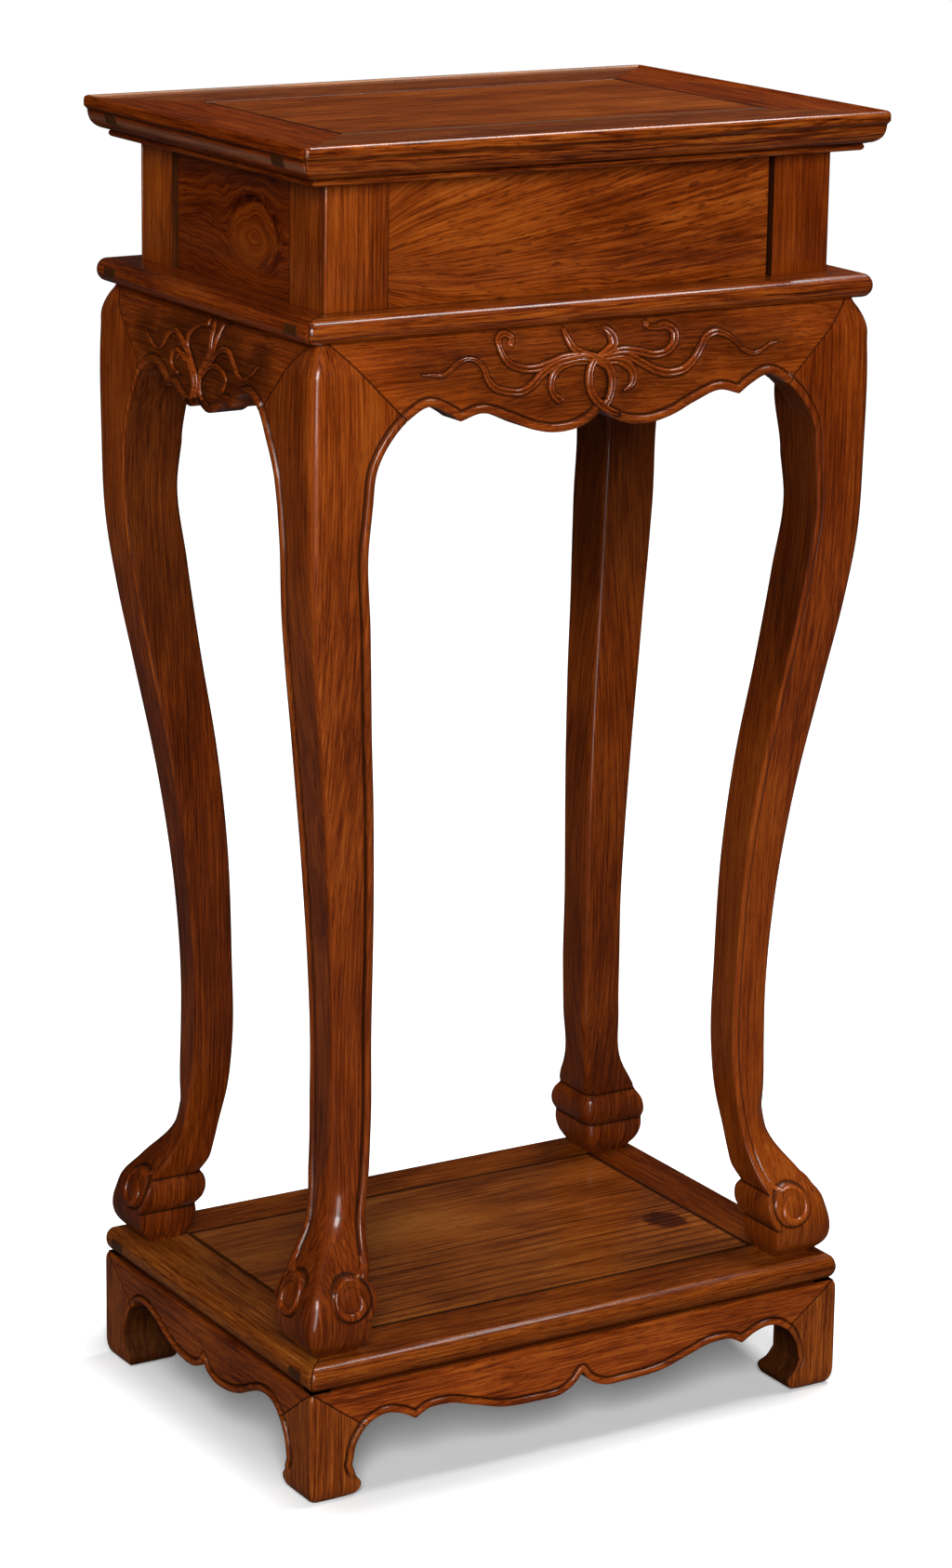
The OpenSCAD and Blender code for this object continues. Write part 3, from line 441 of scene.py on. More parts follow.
def tenon_ends(name, material, width, depth, section, in_y, up):
    """Ends of the long members' through tenons, which follow the moulded edge of the left and right sides."""
    z = np.linspace(up, up + THROUGH_H, 8)
    outer = section[:np.argmax(section[:, 1]) + 1]
    inset = np.interp(z, outer[:, 1], outer[:, 0]) - THROUGH_PROUD
    inner = inset.max() + THROUGH_IN
    outline = np.concatenate([np.stack([inset, z], 1), [[inner, z[-1]], [inner, z[0]]]])
    verts, faces = [], []
    for x_sign in (-1, 1):
        for y_sign in (-1, 1):
            x = x_sign * (width / 2 - outline[:, 0])
            ends = [y_sign * (depth / 2 - y) for y in (in_y, in_y + THROUGH_W)]
            loops = [np.stack([x, np.full(len(x), y), outline[:, 1]], 1) for y in ends]
            faces += loft(loops, sum(map(len, verts)))
            verts += loops
    return piece(name, None, np.concatenate(verts), faces, material)


def panel_joint(inner, z, flat, dirt):
    """End of a member's upper face beside its panel. The dark joint line, which on the front is a painted
    highlight instead, lies on the last three of these points, from mark inwards."""
    edge = inner - JOINT
    return [[edge - flat, z], [edge - dirt, z], [edge - 0.3, z - 0.05], [edge, z - 0.35]]


def top_section():
    """Section of the top's members, from the panel's groove round under the edge to the upper face."""
    bead_r, quirk, ovolo_w, ovolo_h, lip_r = 2.5, 2.5, 10.5, TOP_T - 14.5, 3
    ovolo_z = TOP_Z + 2 * bead_r + 0.5
    bead_in = quirk + ovolo_w + bead_r + 1.2
    panel_z = STAND_H - LIP_H
    return np.concatenate([
        [[TOP_MEMBER - JOINT, TOP_Z], [bead_in, TOP_Z]],
        arc([bead_in, TOP_Z + bead_r], bead_r, bead_r, 270, 125),
        arc([quirk + ovolo_w, ovolo_z + ovolo_h], ovolo_w, ovolo_h, 264, 182, 14),
        arc([1.2, ovolo_z + ovolo_h + 2.6], 1.2, 1.2, 250, 180, 4),
        arc([lip_r, STAND_H - lip_r], lip_r, lip_r, 180, 90, 8),
        [[LIP_W - 1.2, STAND_H - 0.02], [LIP_W - 0.4, STAND_H - 0.3], [LIP_W + 0.5, panel_z + 0.35],
         [LIP_W + 1.4, panel_z + 0.02], [LIP_W + 3, panel_z]],
        panel_joint(TOP_MEMBER, panel_z, 3.0, 2.6)])


def bullnose_section(z, t, wide):
    """Section of a member with a half-round edge."""
    return np.concatenate([[[wide - JOINT, z], [t / 2 + 1, z]],
                           arc([t / 2, z + t / 2], t / 2, t / 2, 270, 90, 24),
                           [[t / 2 + 1, z + t]], panel_joint(wide, z + t, 2.6, 2.0)])


# Flat boards: an outline seen from above, pushed up through a thickness, with worn arrises

def board(name, node, material, outline, low, high, wear, dark=0, shades=None):
    """low and high are the heights of its two faces, wear how far its arrises are worn. dark is how dark
    the joint round the rim of a rectangle is, and shades how dark each point of the outline is, with
    painted shade in gaps and painted highlight below 0."""
    outline = np.asarray(outline, float)
    shades = np.zeros(len(outline)) if shades is None else np.asarray(shades, float)
    before, after = np.roll(outline, 1, 0), np.roll(outline, -1, 0)
    turn = 1 if np.sum(outline[:, 0] * after[:, 1] - after[:, 0] * outline[:, 1]) > 0 else -1
    normals = []
    for edge in (outline - before, after - outline):
        edge = edge / np.linalg.norm(edge, axis=1)[:, None]
        normals.append(np.stack([-edge[:, 1], edge[:, 0]], 1) * turn)
    inward = sum(normals) / np.maximum(1 + np.sum(normals[0] * normals[1], 1), 0.3)[:, None]
    steps = [(low, wear, dark), (low + wear * 0.3, wear * 0.3, dark), (low + wear, 0, dark),
             (high - wear, 0, dark), (high - wear * 0.3, wear * 0.3, dark), (high, wear, dark)]
    loops = [outline + inward * draw for level, draw, shade in steps]
    if dark:
        # The darkening ends a little way in from the rim
        steps = [(low, 0, 0)] + steps + [(high, 0, 0)]
        loops = [shrunk(outline, wear + 1.4)] + loops + [shrunk(outline, wear + 1.4)]
    grime = [np.maximum(shades, shade) for level, draw, shade in steps]
    loops = [np.column_stack([loop, np.full(len(loop), step[0])]) for loop, step in zip(loops, steps)]
    return piece(name, node, np.concatenate(loops), loft(loops), material, np.concatenate(grime))


def rectangle(x0, y0, x1, y1):
    """Rectangle with slightly rounded corners."""
    r = 0.8
    corners = [(x1 - r, y1 - r, 0), (x0 + r, y1 - r, 90), (x0 + r, y0 + r, 180), (x1 - r, y0 + r, 270)]
    return np.concatenate([arc([x, y], r, r, start, start + 90, 3) for x, y, start in corners])


# Shaped edges of the aprons as [share of the half opening, share of the arch's depth]
FRONT_LOBES = [[0, .5179], [.03, .5625], [.09, .6134], [.21, .6384], [.32, .6027], [.42, .5357],
               [.54, .4795], [.626, .5152]]
FRONT_ARCH = [[.626, .5152], [.68, .4598], [.765, .4107], [.838, .4643], [.922, .5893],
              [.978, .7411], [1, 1]]
SIDE_LOBES = [[0, .5536], [.06, .5804], [.134, .5911], [.24, .5536], [.33, .5], [.42, .5134]]
SIDE_ARCH = [[.42, .5134], [.5, .442], [.634, .4018], [.76, .4598], [.87, .625], [.96, .8125], [1, 1]]
BASE_FRONT_LOBES = [[0, .4737], [.03, .5965], [.08, .6947], [.21, .7228], [.36, .6912],
                    [.47, .5877], [.6, .4772], [.68, .4912], [.731, .5789]]
BASE_FRONT_ARCH = [[.731, .5789], [.79, .4737], [.86, .4246], [.93, .5088], [.98, .7193], [1, 1]]
BASE_SIDE_LOBES = [[0, .5263], [.04, .6316], [.12, .7053], [.28, .7088], [.44, .6228], [.58, .4737]]
BASE_SIDE_ARCH = [[.58, .4737], [.7, .386], [.82, .3947], [.92, .5614], [.98, .7895], [1, 1]]
# The lobes of an apron's middle and the arch towards the leg, for the long faces and the short ones
EDGES = {"front": (FRONT_LOBES, FRONT_ARCH), "side": (SIDE_LOBES, SIDE_ARCH)}
BASE_EDGES = {"front": (BASE_FRONT_LOBES, BASE_FRONT_ARCH), "side": (BASE_SIDE_LOBES, BASE_SIDE_ARCH)}


def leg_outer():
    """Outer edge of a leg from its toe up, as [distance in, height]."""
    return smooth(np.concatenate([
        scaled([[.318, 0], [.1136, .1864], [.0614, .4237], [.125, .695], [.425, 1.034]], TOE_W, ROLL_H),
        [[ANKLE_IN * .7687, ROLL_H * 1.373]],
        scaled([[.9446, .173], [1, .25], [.9277, .374], [.72, .494], [.415, .612], [.207, .69],
                [.05, .766], [0, .845]], ANKLE_IN, LEG_H),
        scaled([[0, -1], [.022, -.594], [.144, -.266], [.3125, 0]], SHOULDER_H, SHOULDER_H) + [0, LEG_H]]))


def leg_inner():
    """Inner edge of a leg from the arch down to the roll of its foot."""
    return smooth(np.concatenate([
        [[LEG_FACE - ARCH_IN, LEG_H - ARCH_DEPTH]],
        scaled([[.891, .8003], [.991, .7243], [1.1435, .6273], [1.32, .5288], [1.435, .429]],
               LEG_FACE, LEG_H),
        [[ANKLE_IN + ANKLE_T * .99, LEG_H * .31], [ANKLE_IN + ANKLE_T, LEG_H * .218],
         [ANKLE_IN + ANKLE_T * .911, ROLL_H * 2.034]],
        scaled([[1.389, 1.542], [1.33, 1.261], [1.27, 1.034], [1.18, .868]], TOE_W, ROLL_H)]))


def foot_roll():
    """Inner edge of the rolled foot of a leg, with the crease between its two rolls."""
    return np.concatenate([
        smooth(scaled([[1.18, .868], [1.235, .8], [1.2545, .68], [1.216, .5424], [1.125, .4322]],
                      TOE_W, ROLL_H)),
        smooth(scaled([[1.125, .4237], [1.1364, .339], [1.1023, .1695], [1, 0]], TOE_W, ROLL_H))])


def foot_outer():
    """Outer edge of a foot of the base from the floor up."""
    return np.concatenate([
        smooth(scaled([[.1324, 0], [.0647, .0244], [.0176, .0732], [0, .1341]], FOOT_FACE, FOOT_H)),
        smooth(scaled([[0, -1], [.0625, -.375], [.25, 0]], FOOT_SHOULDER_H, FOOT_SHOULDER_H)
               + [0, FOOT_H])])


def foot_inner():
    """Inner edge of a foot of the base from the floor up."""
    return smooth(np.concatenate([
        scaled([[.9118, 0], [1.1618, .0366], [1.2353, .1098], [1.1029, .1951]], FOOT_FACE, FOOT_H),
        [[FOOT_FACE, FOOT_H - BASE_ARCH_DEPTH]]]))


class Layer:
    """The shaped edges of the legs and aprons, or of the feet and their aprons."""

    def __init__(self, width, depth, top, face, arch_depth, edges, mitre_in, slope, thick, height, outer,
                 bead, rise):
        """face is the width of the leg where the arch starts, mitre_in and slope where the mitre leaves
        the frame above and how steep it is, and bead and rise the width and height of the bead."""
        self.width, self.depth = width, depth
        self.top, self.height = top, height
        self.face, self.arch_depth, self.edges = face, arch_depth, edges
        self.mitre_in, self.slope, self.thick = mitre_in, slope, thick
        self.outer = outer
        self.bead, self.rise = bead, rise

    def halves(self, side):
        """Half the length of a face, and how far the face stands from the middle."""
        half_w, half_d = self.width / 2, self.depth / 2
        return (half_w, half_d) if side == "front" else (half_d, half_w)

    def edge(self, side):
        """Apron edge from the middle outwards, as [distance from the middle, depth under the frame]."""
        half_open = self.halves(side)[0] - self.face
        return np.concatenate([smooth(scaled(part, half_open, self.arch_depth)) for part in self.edges[side]])

    def inset(self, depth):
        """How far the face stands in at a depth under the frame above."""
        return np.interp(self.height - np.asarray(depth), self.outer[:, 1], self.outer[:, 0])

    def relief(self, s, fade=1.0):
        """Height of the raised bead and the groove beside it, by distance from the shaped edge."""
        half = self.bead / 2
        swell = np.sqrt(np.clip(1 - ((s - half) / half) ** 2, 0, 1))
        return (self.rise * swell - GROOVE_DEPTH * hump(s, self.bead + GROOVE_OFF, GROOVE_W)) * fade

    def dirt(self, s, fade=1.0):
        """How dark that groove is."""
        return hump(s, self.bead + GROOVE_DARK_OFF, GROOVE_DARK_W) * fade


LEGS = Layer(LEG_W, LEG_D, MOULDING_Z, LEG_FACE - ARCH_IN, ARCH_DEPTH, EDGES, mitre_in=17, slope=1,
             thick=APRON_T, height=LEG_H, outer=leg_outer(), bead=5.7, rise=2.2)
FEET = Layer(BASE_W, BASE_D, FOOT_H, FOOT_FACE, BASE_ARCH_DEPTH, BASE_EDGES, mitre_in=4, slope=0.75,
             thick=BASE_APRON_T, height=FOOT_H, outer=foot_outer() + [FOOT_SET_IN, 0], bead=4.8, rise=1.6)


def apron_loops(layer, side, carving=()):
    """Loops of an apron for the front or a side: columns from the shaped edge up to the frame. The
    ground is sunk a little beside what is carved on it, with painted shadow at the carving's foot and
    painted shade round it."""
    half, out = layer.halves(side)
    edge = layer.edge(side)
    reach = half - layer.mitre_in - 0.4
    cusp = layer.edges[side][0][-1][0] * (half - layer.face)
    marks = np.unique(np.concatenate([np.arange(0, reach, COLUMN), [cusp, reach]]))
    marks = marks[(np.abs(marks - cusp) > COLUMN * 0.3) | (marks == cusp)]
    xs = np.concatenate([-marks[::-1], marks[1:]])
    mirrored = np.concatenate([(edge * [-1, 1])[::-1], edge[1:]])
    low = np.interp(np.abs(xs), edge[:, 0], edge[:, 1])
    mitre = layer.slope * (half - np.abs(xs) - layer.mitre_in) - JOINT
    cut = (mitre < low)[:, None]
    low = np.minimum(low, mitre)[:, None]
    # Close rows over the bead, then wider ones up to the frame
    band = np.minimum(9.5, low * 0.6)
    r = np.minimum(np.where(cut, 0.15, 0.9), band * 0.3)
    near, far = np.linspace(0, 1, 25), np.linspace(0, 1, 60 if carving else 22)[1:]
    depth = low - np.concatenate([r + (band - r) * near, band + (low - band) * far], 1)
    u = np.repeat(xs[:, None], depth.shape[1], 1)
    s = distance_to(mirrored, np.stack([u.ravel(), depth.ravel()], 1)).reshape(u.shape)
    y = layer.inset(depth) - layer.relief(s)
    # Dark in the bead's groove; painted shade just under the frame and fading down from it
    dark = np.maximum.reduce([layer.dirt(s), ramp(depth, 1.8, 0.2) * 0.6, ramp(depth, 13, 1) * 0.15])
    dark = np.maximum(dark, np.where(cut, ramp(low - depth, 1.0, 0.2), 0))
    for line, shares in carving:
        spots = np.stack([u.ravel(), layer.top - depth.ravel()], 1)
        away, share = distance_to(line[:, :2], spots, shares)
        gap = (away - share * STRAND_W * FINER[side] / 2).reshape(u.shape)
        # Painted shadow at the foot of the carving, and painted shade on the ground round it
        dark = np.maximum.reduce([dark, 0.95 * ramp(gap, 2.0, 0.3), SHADOW[side] * ramp(gap, 26, 4)])
        y = y + GROUND_SUNK * ramp(gap, 4.0, 0.5)
    turn = np.radians([30, 60, 90])
    rim_y, rim_d = y[:, :1] + r * (1 - np.cos(turn)), low - r + r * np.sin(turn)
    back = np.full_like(low, layer.thick)
    ys = np.concatenate([y[:, ::-1], rim_y, (rim_y[:, -1:] + back) / 2, back, back], 1)
    ds = np.concatenate([depth[:, ::-1], rim_d, low, low, low * 0], 1)
    # Dark where a mitre cuts the edge; painted shade on the back and the underside
    rim_dark, back_shade = np.where(cut, 1.0, 0.0) * np.ones(3), np.full((len(xs), 3), 0.5)
    grime = np.concatenate([dark[:, ::-1], rim_dark, back_shade], 1)
    u = np.repeat(xs[:, None], ys.shape[1], 1)
    return np.stack([u, ys - out, layer.top - ds], 2), grime


def turned(points, side):
    """Points drawn for the front, moved to another side of the stand."""
    ax, bx, ay, by = {"front": (1, 0, 0, 1), "back": (1, 0, 0, -1),
                      "left": (0, 1, 1, 0), "right": (0, -1, 1, 0)}[side]
    x, y = points[..., 0], points[..., 1]
    moved = np.array(points, float)
    moved[..., 0], moved[..., 1] = ax * x + bx * y, ay * x + by * y
    return moved


def post_sheets(layer, heights, inner_line, corner_r, detail, crown, inner_dark, inner_r, spread, creases=()):
    """Loops of a leg or foot at the front left corner. Each row runs from the inner corner over the
    side face, its outer corner and the front face back again. corner_r and inner_r are the radii of
    the outer and inner corners, crown how much a face swells, inner_dark how dark the painted shade on
    the inner faces is, spread how much the inner corner thickens over the arch, and creases the heights
    of the creases inside, which are painted with shade."""
    h = heights[:, None]
    outer = np.interp(heights, layer.outer[:, 1], layer.outer[:, 0])[:, None]
    order = np.argsort(inner_line[:, 1], kind="stable")
    inner_h, inner_u = inner_line[order, 1], inner_line[order, 0]
    arch_h = layer.height - layer.arch_depth
    shaft = np.interp(heights, inner_h, inner_u)[:, None]
    core = np.where(h < arch_h, shaft, layer.face + spread * ramp(h, arch_h, arch_h + 45))
    flat_mid = (outer + shaft) / 2
    behind = flat_mid + (layer.thick + 0.15 - flat_mid) * ramp(h, arch_h, arch_h + 8)
    mid = np.where(h < arch_h, flat_mid, behind)
    # Painted shade in the creases inside and on the inner faces
    crease = sum([hump(h, at, 1.3) for at in creases], 0 * h)
    inner_shade = np.maximum(crease, inner_dark[:, None])
    # Steps round the outer corner, the edge and the inner corner, then over the face and its bead
    phi, turn, bend = np.radians(np.linspace(45, 0, 9)), np.radians([30, 60, 90]), np.radians([15, 30, 45])
    far, near = np.linspace(0, 1, 25)[1:], np.linspace(0, 1, 27)[1:]
    across = len(far) + len(near)
    # Steps back from the edge through the thickness, then in to the inner corner, and a row of ones for
    # what stays the same over them
    side_run, back_run, rows = np.linspace(0, 1, 7)[1:], np.linspace(0, 1, 4)[1:], np.ones((1, 6))
    sheets = []
    for side in ("front", "side"):
        # u runs across this face from the leg's outer side, and d is the depth into the leg
        half = layer.halves(side)[0]
        full = layer.edge(side)
        full = full[full[:, 0] > half - 95]
        arch_line = np.stack([half - full[:, 0], layer.height - full[:, 1]], 1)[::-1]
        rising = arch_line[:np.argmax(arch_line[:, 1]) + 1]
        mitre = layer.mitre_in + (layer.height - h) / layer.slope - JOINT
        by_arch = np.interp(h, rising[:, 1], rising[:, 0])
        over = h > rising[-1, 1]
        at_mitre = (h > arch_h) & (over | (mitre <= by_arch))
        edge = np.where(h < arch_h, shaft, np.where(at_mitre, mitre, by_arch))
        shape = np.concatenate([np.stack([inner_u, inner_h], 1), arch_line])
        wide = np.maximum(edge - outer, 0.8)
        r = np.minimum(corner_r[:, None], wide * 0.58)
        edge_r = np.minimum(np.where(at_mitre, 0.15, 1.0), wide * 0.15)
        band = np.minimum(11.0, (wide - r - edge_r) * 0.62)
        start, turn_in = outer + r, edge - edge_r - band
        u = np.concatenate([start - r * np.sin(phi), start + (turn_in - start) * far,
                            turn_in + band * near], 1)
        d = np.concatenate([start - r * np.cos(phi), np.repeat(outer, across, 1)], 1)
        out_u = np.concatenate([np.sin(phi), np.zeros(across)])
        out_d = np.concatenate([np.cos(phi), np.ones(across)])
        level = np.repeat(h, u.shape[1], 1)
        s = distance_to(shape, np.stack([u.ravel(), level.ravel()], 1)).reshape(u.shape)
        lift, dark = detail(u, level, s)
        dark = np.where(at_mitre, np.maximum(dark, ramp(edge - u, 1.1, 0.25)), dark)
        # Painted shade just under the frame above
        dark = np.maximum(dark, ramp(layer.height - level, 1.8, 0.2) * 0.6)
        lift = lift + crown * np.clip(1 - ((u - (outer + edge) / 2) / (wide / 2)) ** 2, 0, 1)
        u, d = u - out_u * lift, d - out_d * lift
        rim_d = d[:, -1:]
        round_in = np.minimum(inner_r[:, None], (core - mid) * 0.8)
        u = np.concatenate([u, edge - edge_r + edge_r * np.sin(turn), edge * rows,
                            edge + (core - edge) * back_run, core * rows[:, :3],
                            core - round_in * (1 - np.cos(bend))], 1)
        d = np.concatenate([d, rim_d + edge_r * (1 - np.cos(turn)),
                            rim_d + edge_r + (mid - rim_d - edge_r) * side_run, mid * rows[:, :3],
                            mid + (core - round_in - mid) * back_run,
                            core - round_in * (1 - np.sin(bend))], 1)
        dark = np.concatenate([dark, inner_shade * np.ones((1, u.shape[1] - dark.shape[1]))], 1)
        sheets.append((u, d, dark))
    (front_u, front_d, front_dark), (side_u, side_d, side_dark) = sheets
    x = np.concatenate([front_u, side_d[:, 1:-1][:, ::-1]], 1)
    y = np.concatenate([front_d, side_u[:, 1:-1][:, ::-1]], 1)
    z = np.repeat(h, x.shape[1], 1)
    return np.stack([x, y, z], 2), np.concatenate([front_dark, side_dark[:, 1:-1][:, ::-1]], 1)


# Carving on the aprons, as [across, height] on the face: tendrils that spring from the middle
STRAND_W, STRAND_H, STRAND_GROOVE = 6.0, 3.2, 0.6
# Width over which a blunt end is rounded, and how much higher the buds are than the tendrils
BLUNT_W, BUD_HIGHER = 5.6, 1.15
# Share of the carving's width and height on the long faces and the short ones, and how dark the
# painted shade on the ground round it is
FINER = {"front": 1, "side": 0.68}
SHADOW = {"front": 0.4, "side": 0.62}
# Shares of the width along a strand: a leaf with a fine tip, and a curl with a blunt one
LEAF = [[0, .1], [.06, .35], [.14, .5], [.2, .42], [.34, .8], [.6, 1], [1, .9]]
CURL = [[0, .8], [.12, .62], [.3, .8], [.6, .95], [1, .85]]
FRONT_CARVING = [
    strand([[-141, 788.3], [-133, 787.9], [-125.4, 787], [-119, 790.2], [-113.4, 794.1], [-106.2, 796.3],
            [-99, 794.8], [-93.2, 788.7], [-90.2, 781.6], [-85.7, 776.2], [-74.8, 772.1], [-63.8, 771.2],
            [-55.2, 775.5], [-48, 781.9], [-38.5, 787.4], [-27.6, 789.6], [-12.8, 790.3], [-1.5, 786.3],
            [6.1, 780.6], [7.8, 772.2], [6.5, 762.8], [2.5, 757]], LEAF),
    strand([[-70.6, 803.2], [-68.6, 807.3], [-74, 810], [-79.4, 806.5], [-79, 799.3], [-74, 791.4],
            [-64.1, 786.9], [-53.2, 786], [-42.2, 788.3], [-31.3, 791.2], [-11.3, 791.5]], CURL, True),
    strand([[-12.7, 787.8], [-26, 787.6], [-34.8, 784.6], [-39.8, 779.3], [-40.4, 771.1], [-37, 765.2],
            [-32.4, 762.5]], [[0, .8], [.5, .9], [.8, .75], [.92, .95], [1, 1.05]], False, True),
    strand([[-26.6, 810.3], [-25.7, 803.3], [-21.8, 796.7], [-14.5, 792.8], [-5.4, 789.8]],
           [[0, .55], [.3, .9], [1, .8]], True),
    strand([[4.2, 809.3], [8.8, 804], [9.3, 797.4], [4, 793.2], [-3.1, 790.2]],
           [[0, .6], [.3, 1.35], [.6, 1.1], [1, .7]], True),
    strand([[36.5, 809.5], [40.4, 806.4], [47, 805.6], [54, 806.2], [59, 802.6], [57.4, 794.2], [50.9, 789.1],
            [41.1, 787.9], [30.5, 790.7], [16.9, 793], [-1.6, 788.8]],
           [[0, .75], [.1, .6], [.25, 1.15], [.4, .95], [1, .85]], True),
    strand([[2.2, 786.6], [13.4, 785.7], [21, 781.9], [24.9, 775.2], [23.6, 769.6], [17.7, 765]],
           [[0, .7], [.45, 1.15], [.75, .9], [1, .25]]),
    strand([[144, 788.8], [137.5, 787.6], [131.6, 784.6], [125.5, 782.5], [116.1, 785.2], [109.7, 790.9],
            [101.8, 796.6], [92.5, 799.3], [84.9, 796.6], [79.1, 789.4], [73.9, 782.1], [66.5, 776.3],
            [56.7, 774.5], [43.7, 776.9], [32.2, 782.9], [17, 789.9], [2.1, 789.2]], LEAF),
    strand([[12, 750.2], [6.8, 752.2], [-0.8, 757], [-7.7, 764], [-10.9, 773.7], [-9.8, 783], [-6, 789.5]],
           [[0, .7], [.3, 1], [.7, 1], [1, .8]], over=0.5),
    strand([[-9.4, 791.3], [-5.4, 789.8], [2.2, 785.3], [6.8, 777.4], [7, 768], [4.6, 760]],
           [[0, .75], [.5, 1.05], [1, .85]], over=0.9)]
FRONT_BUDS = [strand([[-72.6, 801.2], [-70.2, 804.6]], [[0, 1.1], [1, 1.1]], True, True, over=0.4),
              strand([[-33.6, 762.4], [-30.8, 763.6]], [[0, 1.1], [1, 1.1]], True, True, over=0.2),
              strand([[38, 809.4], [40.6, 807.6]], [[0, .95], [1, .95]], True, True, over=0.2)]
SIDE_CARVING = [
    strand([[81.9, 788], [75.7, 784.2], [69.6, 780.4], [62.4, 779.2], [55.2, 782.6], [50.1, 788.2],
            [44.9, 792.7], [39.9, 794.9], [31.8, 793.8], [25.8, 790], [19.8, 785.3], [14.9, 780.5],
            [10.9, 774.5], [6, 767.8], [5, 760.5], [6.1, 753.7]], LEAF),
    strand([[-1.5, 809], [-2.4, 805], [3.8, 804.4], [11.8, 801.2], [17.8, 795], [18.8, 789.2], [15.8, 783.1],
            [10.9, 776.4], [6, 769.7], [4, 763.5]], [[0, .7], [.12, .5], [.3, .85], [1, .9]], True),
    strand([[32, 766.4], [38.1, 768.3], [42.1, 773.3], [40, 779.3], [34.9, 782.5], [28.9, 781.1],
            [21, 777]], [[0, .8], [.2, .55], [.6, .8], [1, .7]], True),
    strand([[34, 776.5], [29.9, 780.5], [21.9, 780.3], [15.9, 775.6], [10.9, 768.9], [9, 761.7],
            [11, 754.8], [16.1, 750.2]], [[0, .4], [.4, .8], [1, .8]]),
    strand([[-9, 808.4], [-12.4, 804], [-13.9, 797.3], [-14.9, 789.8], [-11.9, 784.7], [-7, 779.3],
            [-1, 772.7], [0, 765], [-0.9, 757.7], [-5.8, 751]],
           [[0, .6], [.15, .9], [.6, .95], [1, .9]], True),
    strand([[-22.7, 808.3], [-21.8, 802], [-20.8, 795.4], [-18.8, 790.4], [-13.9, 786], [-8.9, 781.4]],
           [[0, .5], [.3, .95], [1, .8]], True),
    strand([[-84, 790], [-79.5, 787.6], [-75.6, 784.3], [-68, 779.8], [-60.4, 776.7], [-53.7, 779.3],
            [-49.8, 783.3], [-46, 788.3], [-41.2, 792.1], [-33.4, 792.7], [-23.7, 788.9], [-15.8, 782.5],
            [-8, 776]], LEAF),
    strand([[-32.4, 763.8], [-35.3, 768], [-37.3, 773], [-33.4, 777], [-25.6, 779.5], [-17.8, 779.1],
            [-9.9, 776], [-2, 770]], [[0, .8], [.15, .5], [.5, .9], [1, .8]], True)]


def on_apron(side):
    """Puts a carving on the outer face of the apron of a side."""
    out_to = (LEG_D if side in ("front", "back") else LEG_W) / 2

    def lay(u, v, out):
        y = LEGS.inset(LEGS.top - v) + GROUND_SUNK - out - out_to
        return turned(np.stack([u, y, v], -1), side)
    return lay


# Scroll foot of a leg: a low disc on each outer face, its dome, and where the roll is creased inside
SCROLL = np.array([37.6, 42.0])
SCROLL_R, DOME_R, DOME_H = 14.4, 9.0, 1.3
CREASES = (51.4, 25.2)


def disc_rise(u, h):
    """How far the disc stands over the shin, more so at its top, and where it does."""
    away = np.hypot(u - SCROLL[0], h - SCROLL[1])
    inside = ramp(away, SCROLL_R + 1.2, SCROLL_R - 1.0)
    dome = DOME_H * np.clip(1 - (away / DOME_R) ** 2, 0, 1)
    return (0.3 + 3.4 * ramp(h, 41, 58) + dome) * inside, away, inside


def leg_detail(u, h, s):
    """Relief and darkening on a leg's face, at a distance u in, a height h and a distance s from its edge:
    the bead, which starts over the roll of the foot, and the disc of the scroll with a groove round it;
    both grooves are dark, the crease under the roll has painted shade, and the wood darkens towards the
    floor."""
    fade = ramp(h, 51, 57)
    rise, away, inside = disc_rise(u, h)
    ring = hump(away, SCROLL_R + 1.3, 1.4) * ramp(u, 18, 26)
    lift = LEGS.relief(s, fade) * (1 - inside) + rise - 0.6 * ring
    # Painted shade in the crease under the roll, dark in the groove inside the disc's rim, and darker towards
    # the floor
    under = hump(h, CREASES[1], 1.1) * ramp(u, 42, 52)
    hollow = 0.5 * hump(away, 8.4, 1.1) * inside
    low = 0.2 * ramp(h, 120, 50)
    return lift, np.maximum.reduce([LEGS.dirt(s, fade) * (1 - inside), 0.95 * ring, 0.8 * under, hollow, low])


def foot_detail(u, h, s):
    """Relief and the dark groove on the face of a foot of the base, whose bead starts over its toe."""
    fade = ramp(h, 13, 19)
    return FEET.relief(s, fade), FEET.dirt(s, fade)


def face_depth(u, h):
    """Depth of a leg's face with its disc, for what is carved on it."""
    return np.interp(h, LEGS.outer[:, 1], LEGS.outer[:, 0]) - disc_rise(u, h)[0]


# The scroll itself: width, height, the line that leads into it, its radii at its start, its share of
# them by angle, and its share of the width on its way
VOLUTE_W, VOLUTE_H, VOLUTE_ROOT = 6.2, 3.3, 1.6
VOLUTE_LEAD = [[54.0, 66], [52.8, 60], [49.6, 56.4]]
VOLUTE_R = (12.2, 13.0)
VOLUTE_TURN = [[62, 1], [180, .98], [225, .96], [270, .88], [315, .76], [345, .66], [370, .56], [388, .47]]
VOLUTE_STOPS = [[0, .5], [.25, .5], [.5, .6], [.68, .85], [.8, 1.05], [.9, .9], [1, .15]]


def volute():
    """Line of the scroll on a foot: over the top, down the outer side, under and in to a hooked tip."""
    angle = np.linspace(VOLUTE_TURN[0][0], VOLUTE_TURN[-1][0], 90)
    share = np.interp(angle, *np.array(VOLUTE_TURN, float).T)[:, None]
    line = SCROLL + share * VOLUTE_R * np.stack([np.cos(np.radians(angle)), np.sin(np.radians(angle))], 1)
    line = np.concatenate([smooth(VOLUTE_LEAD + [line[0]], 6)[:-1], line])
    run = run_along(line)
    return np.column_stack([line, np.zeros(len(line))]), np.interp(run / run[-1], *np.array(VOLUTE_STOPS).T)


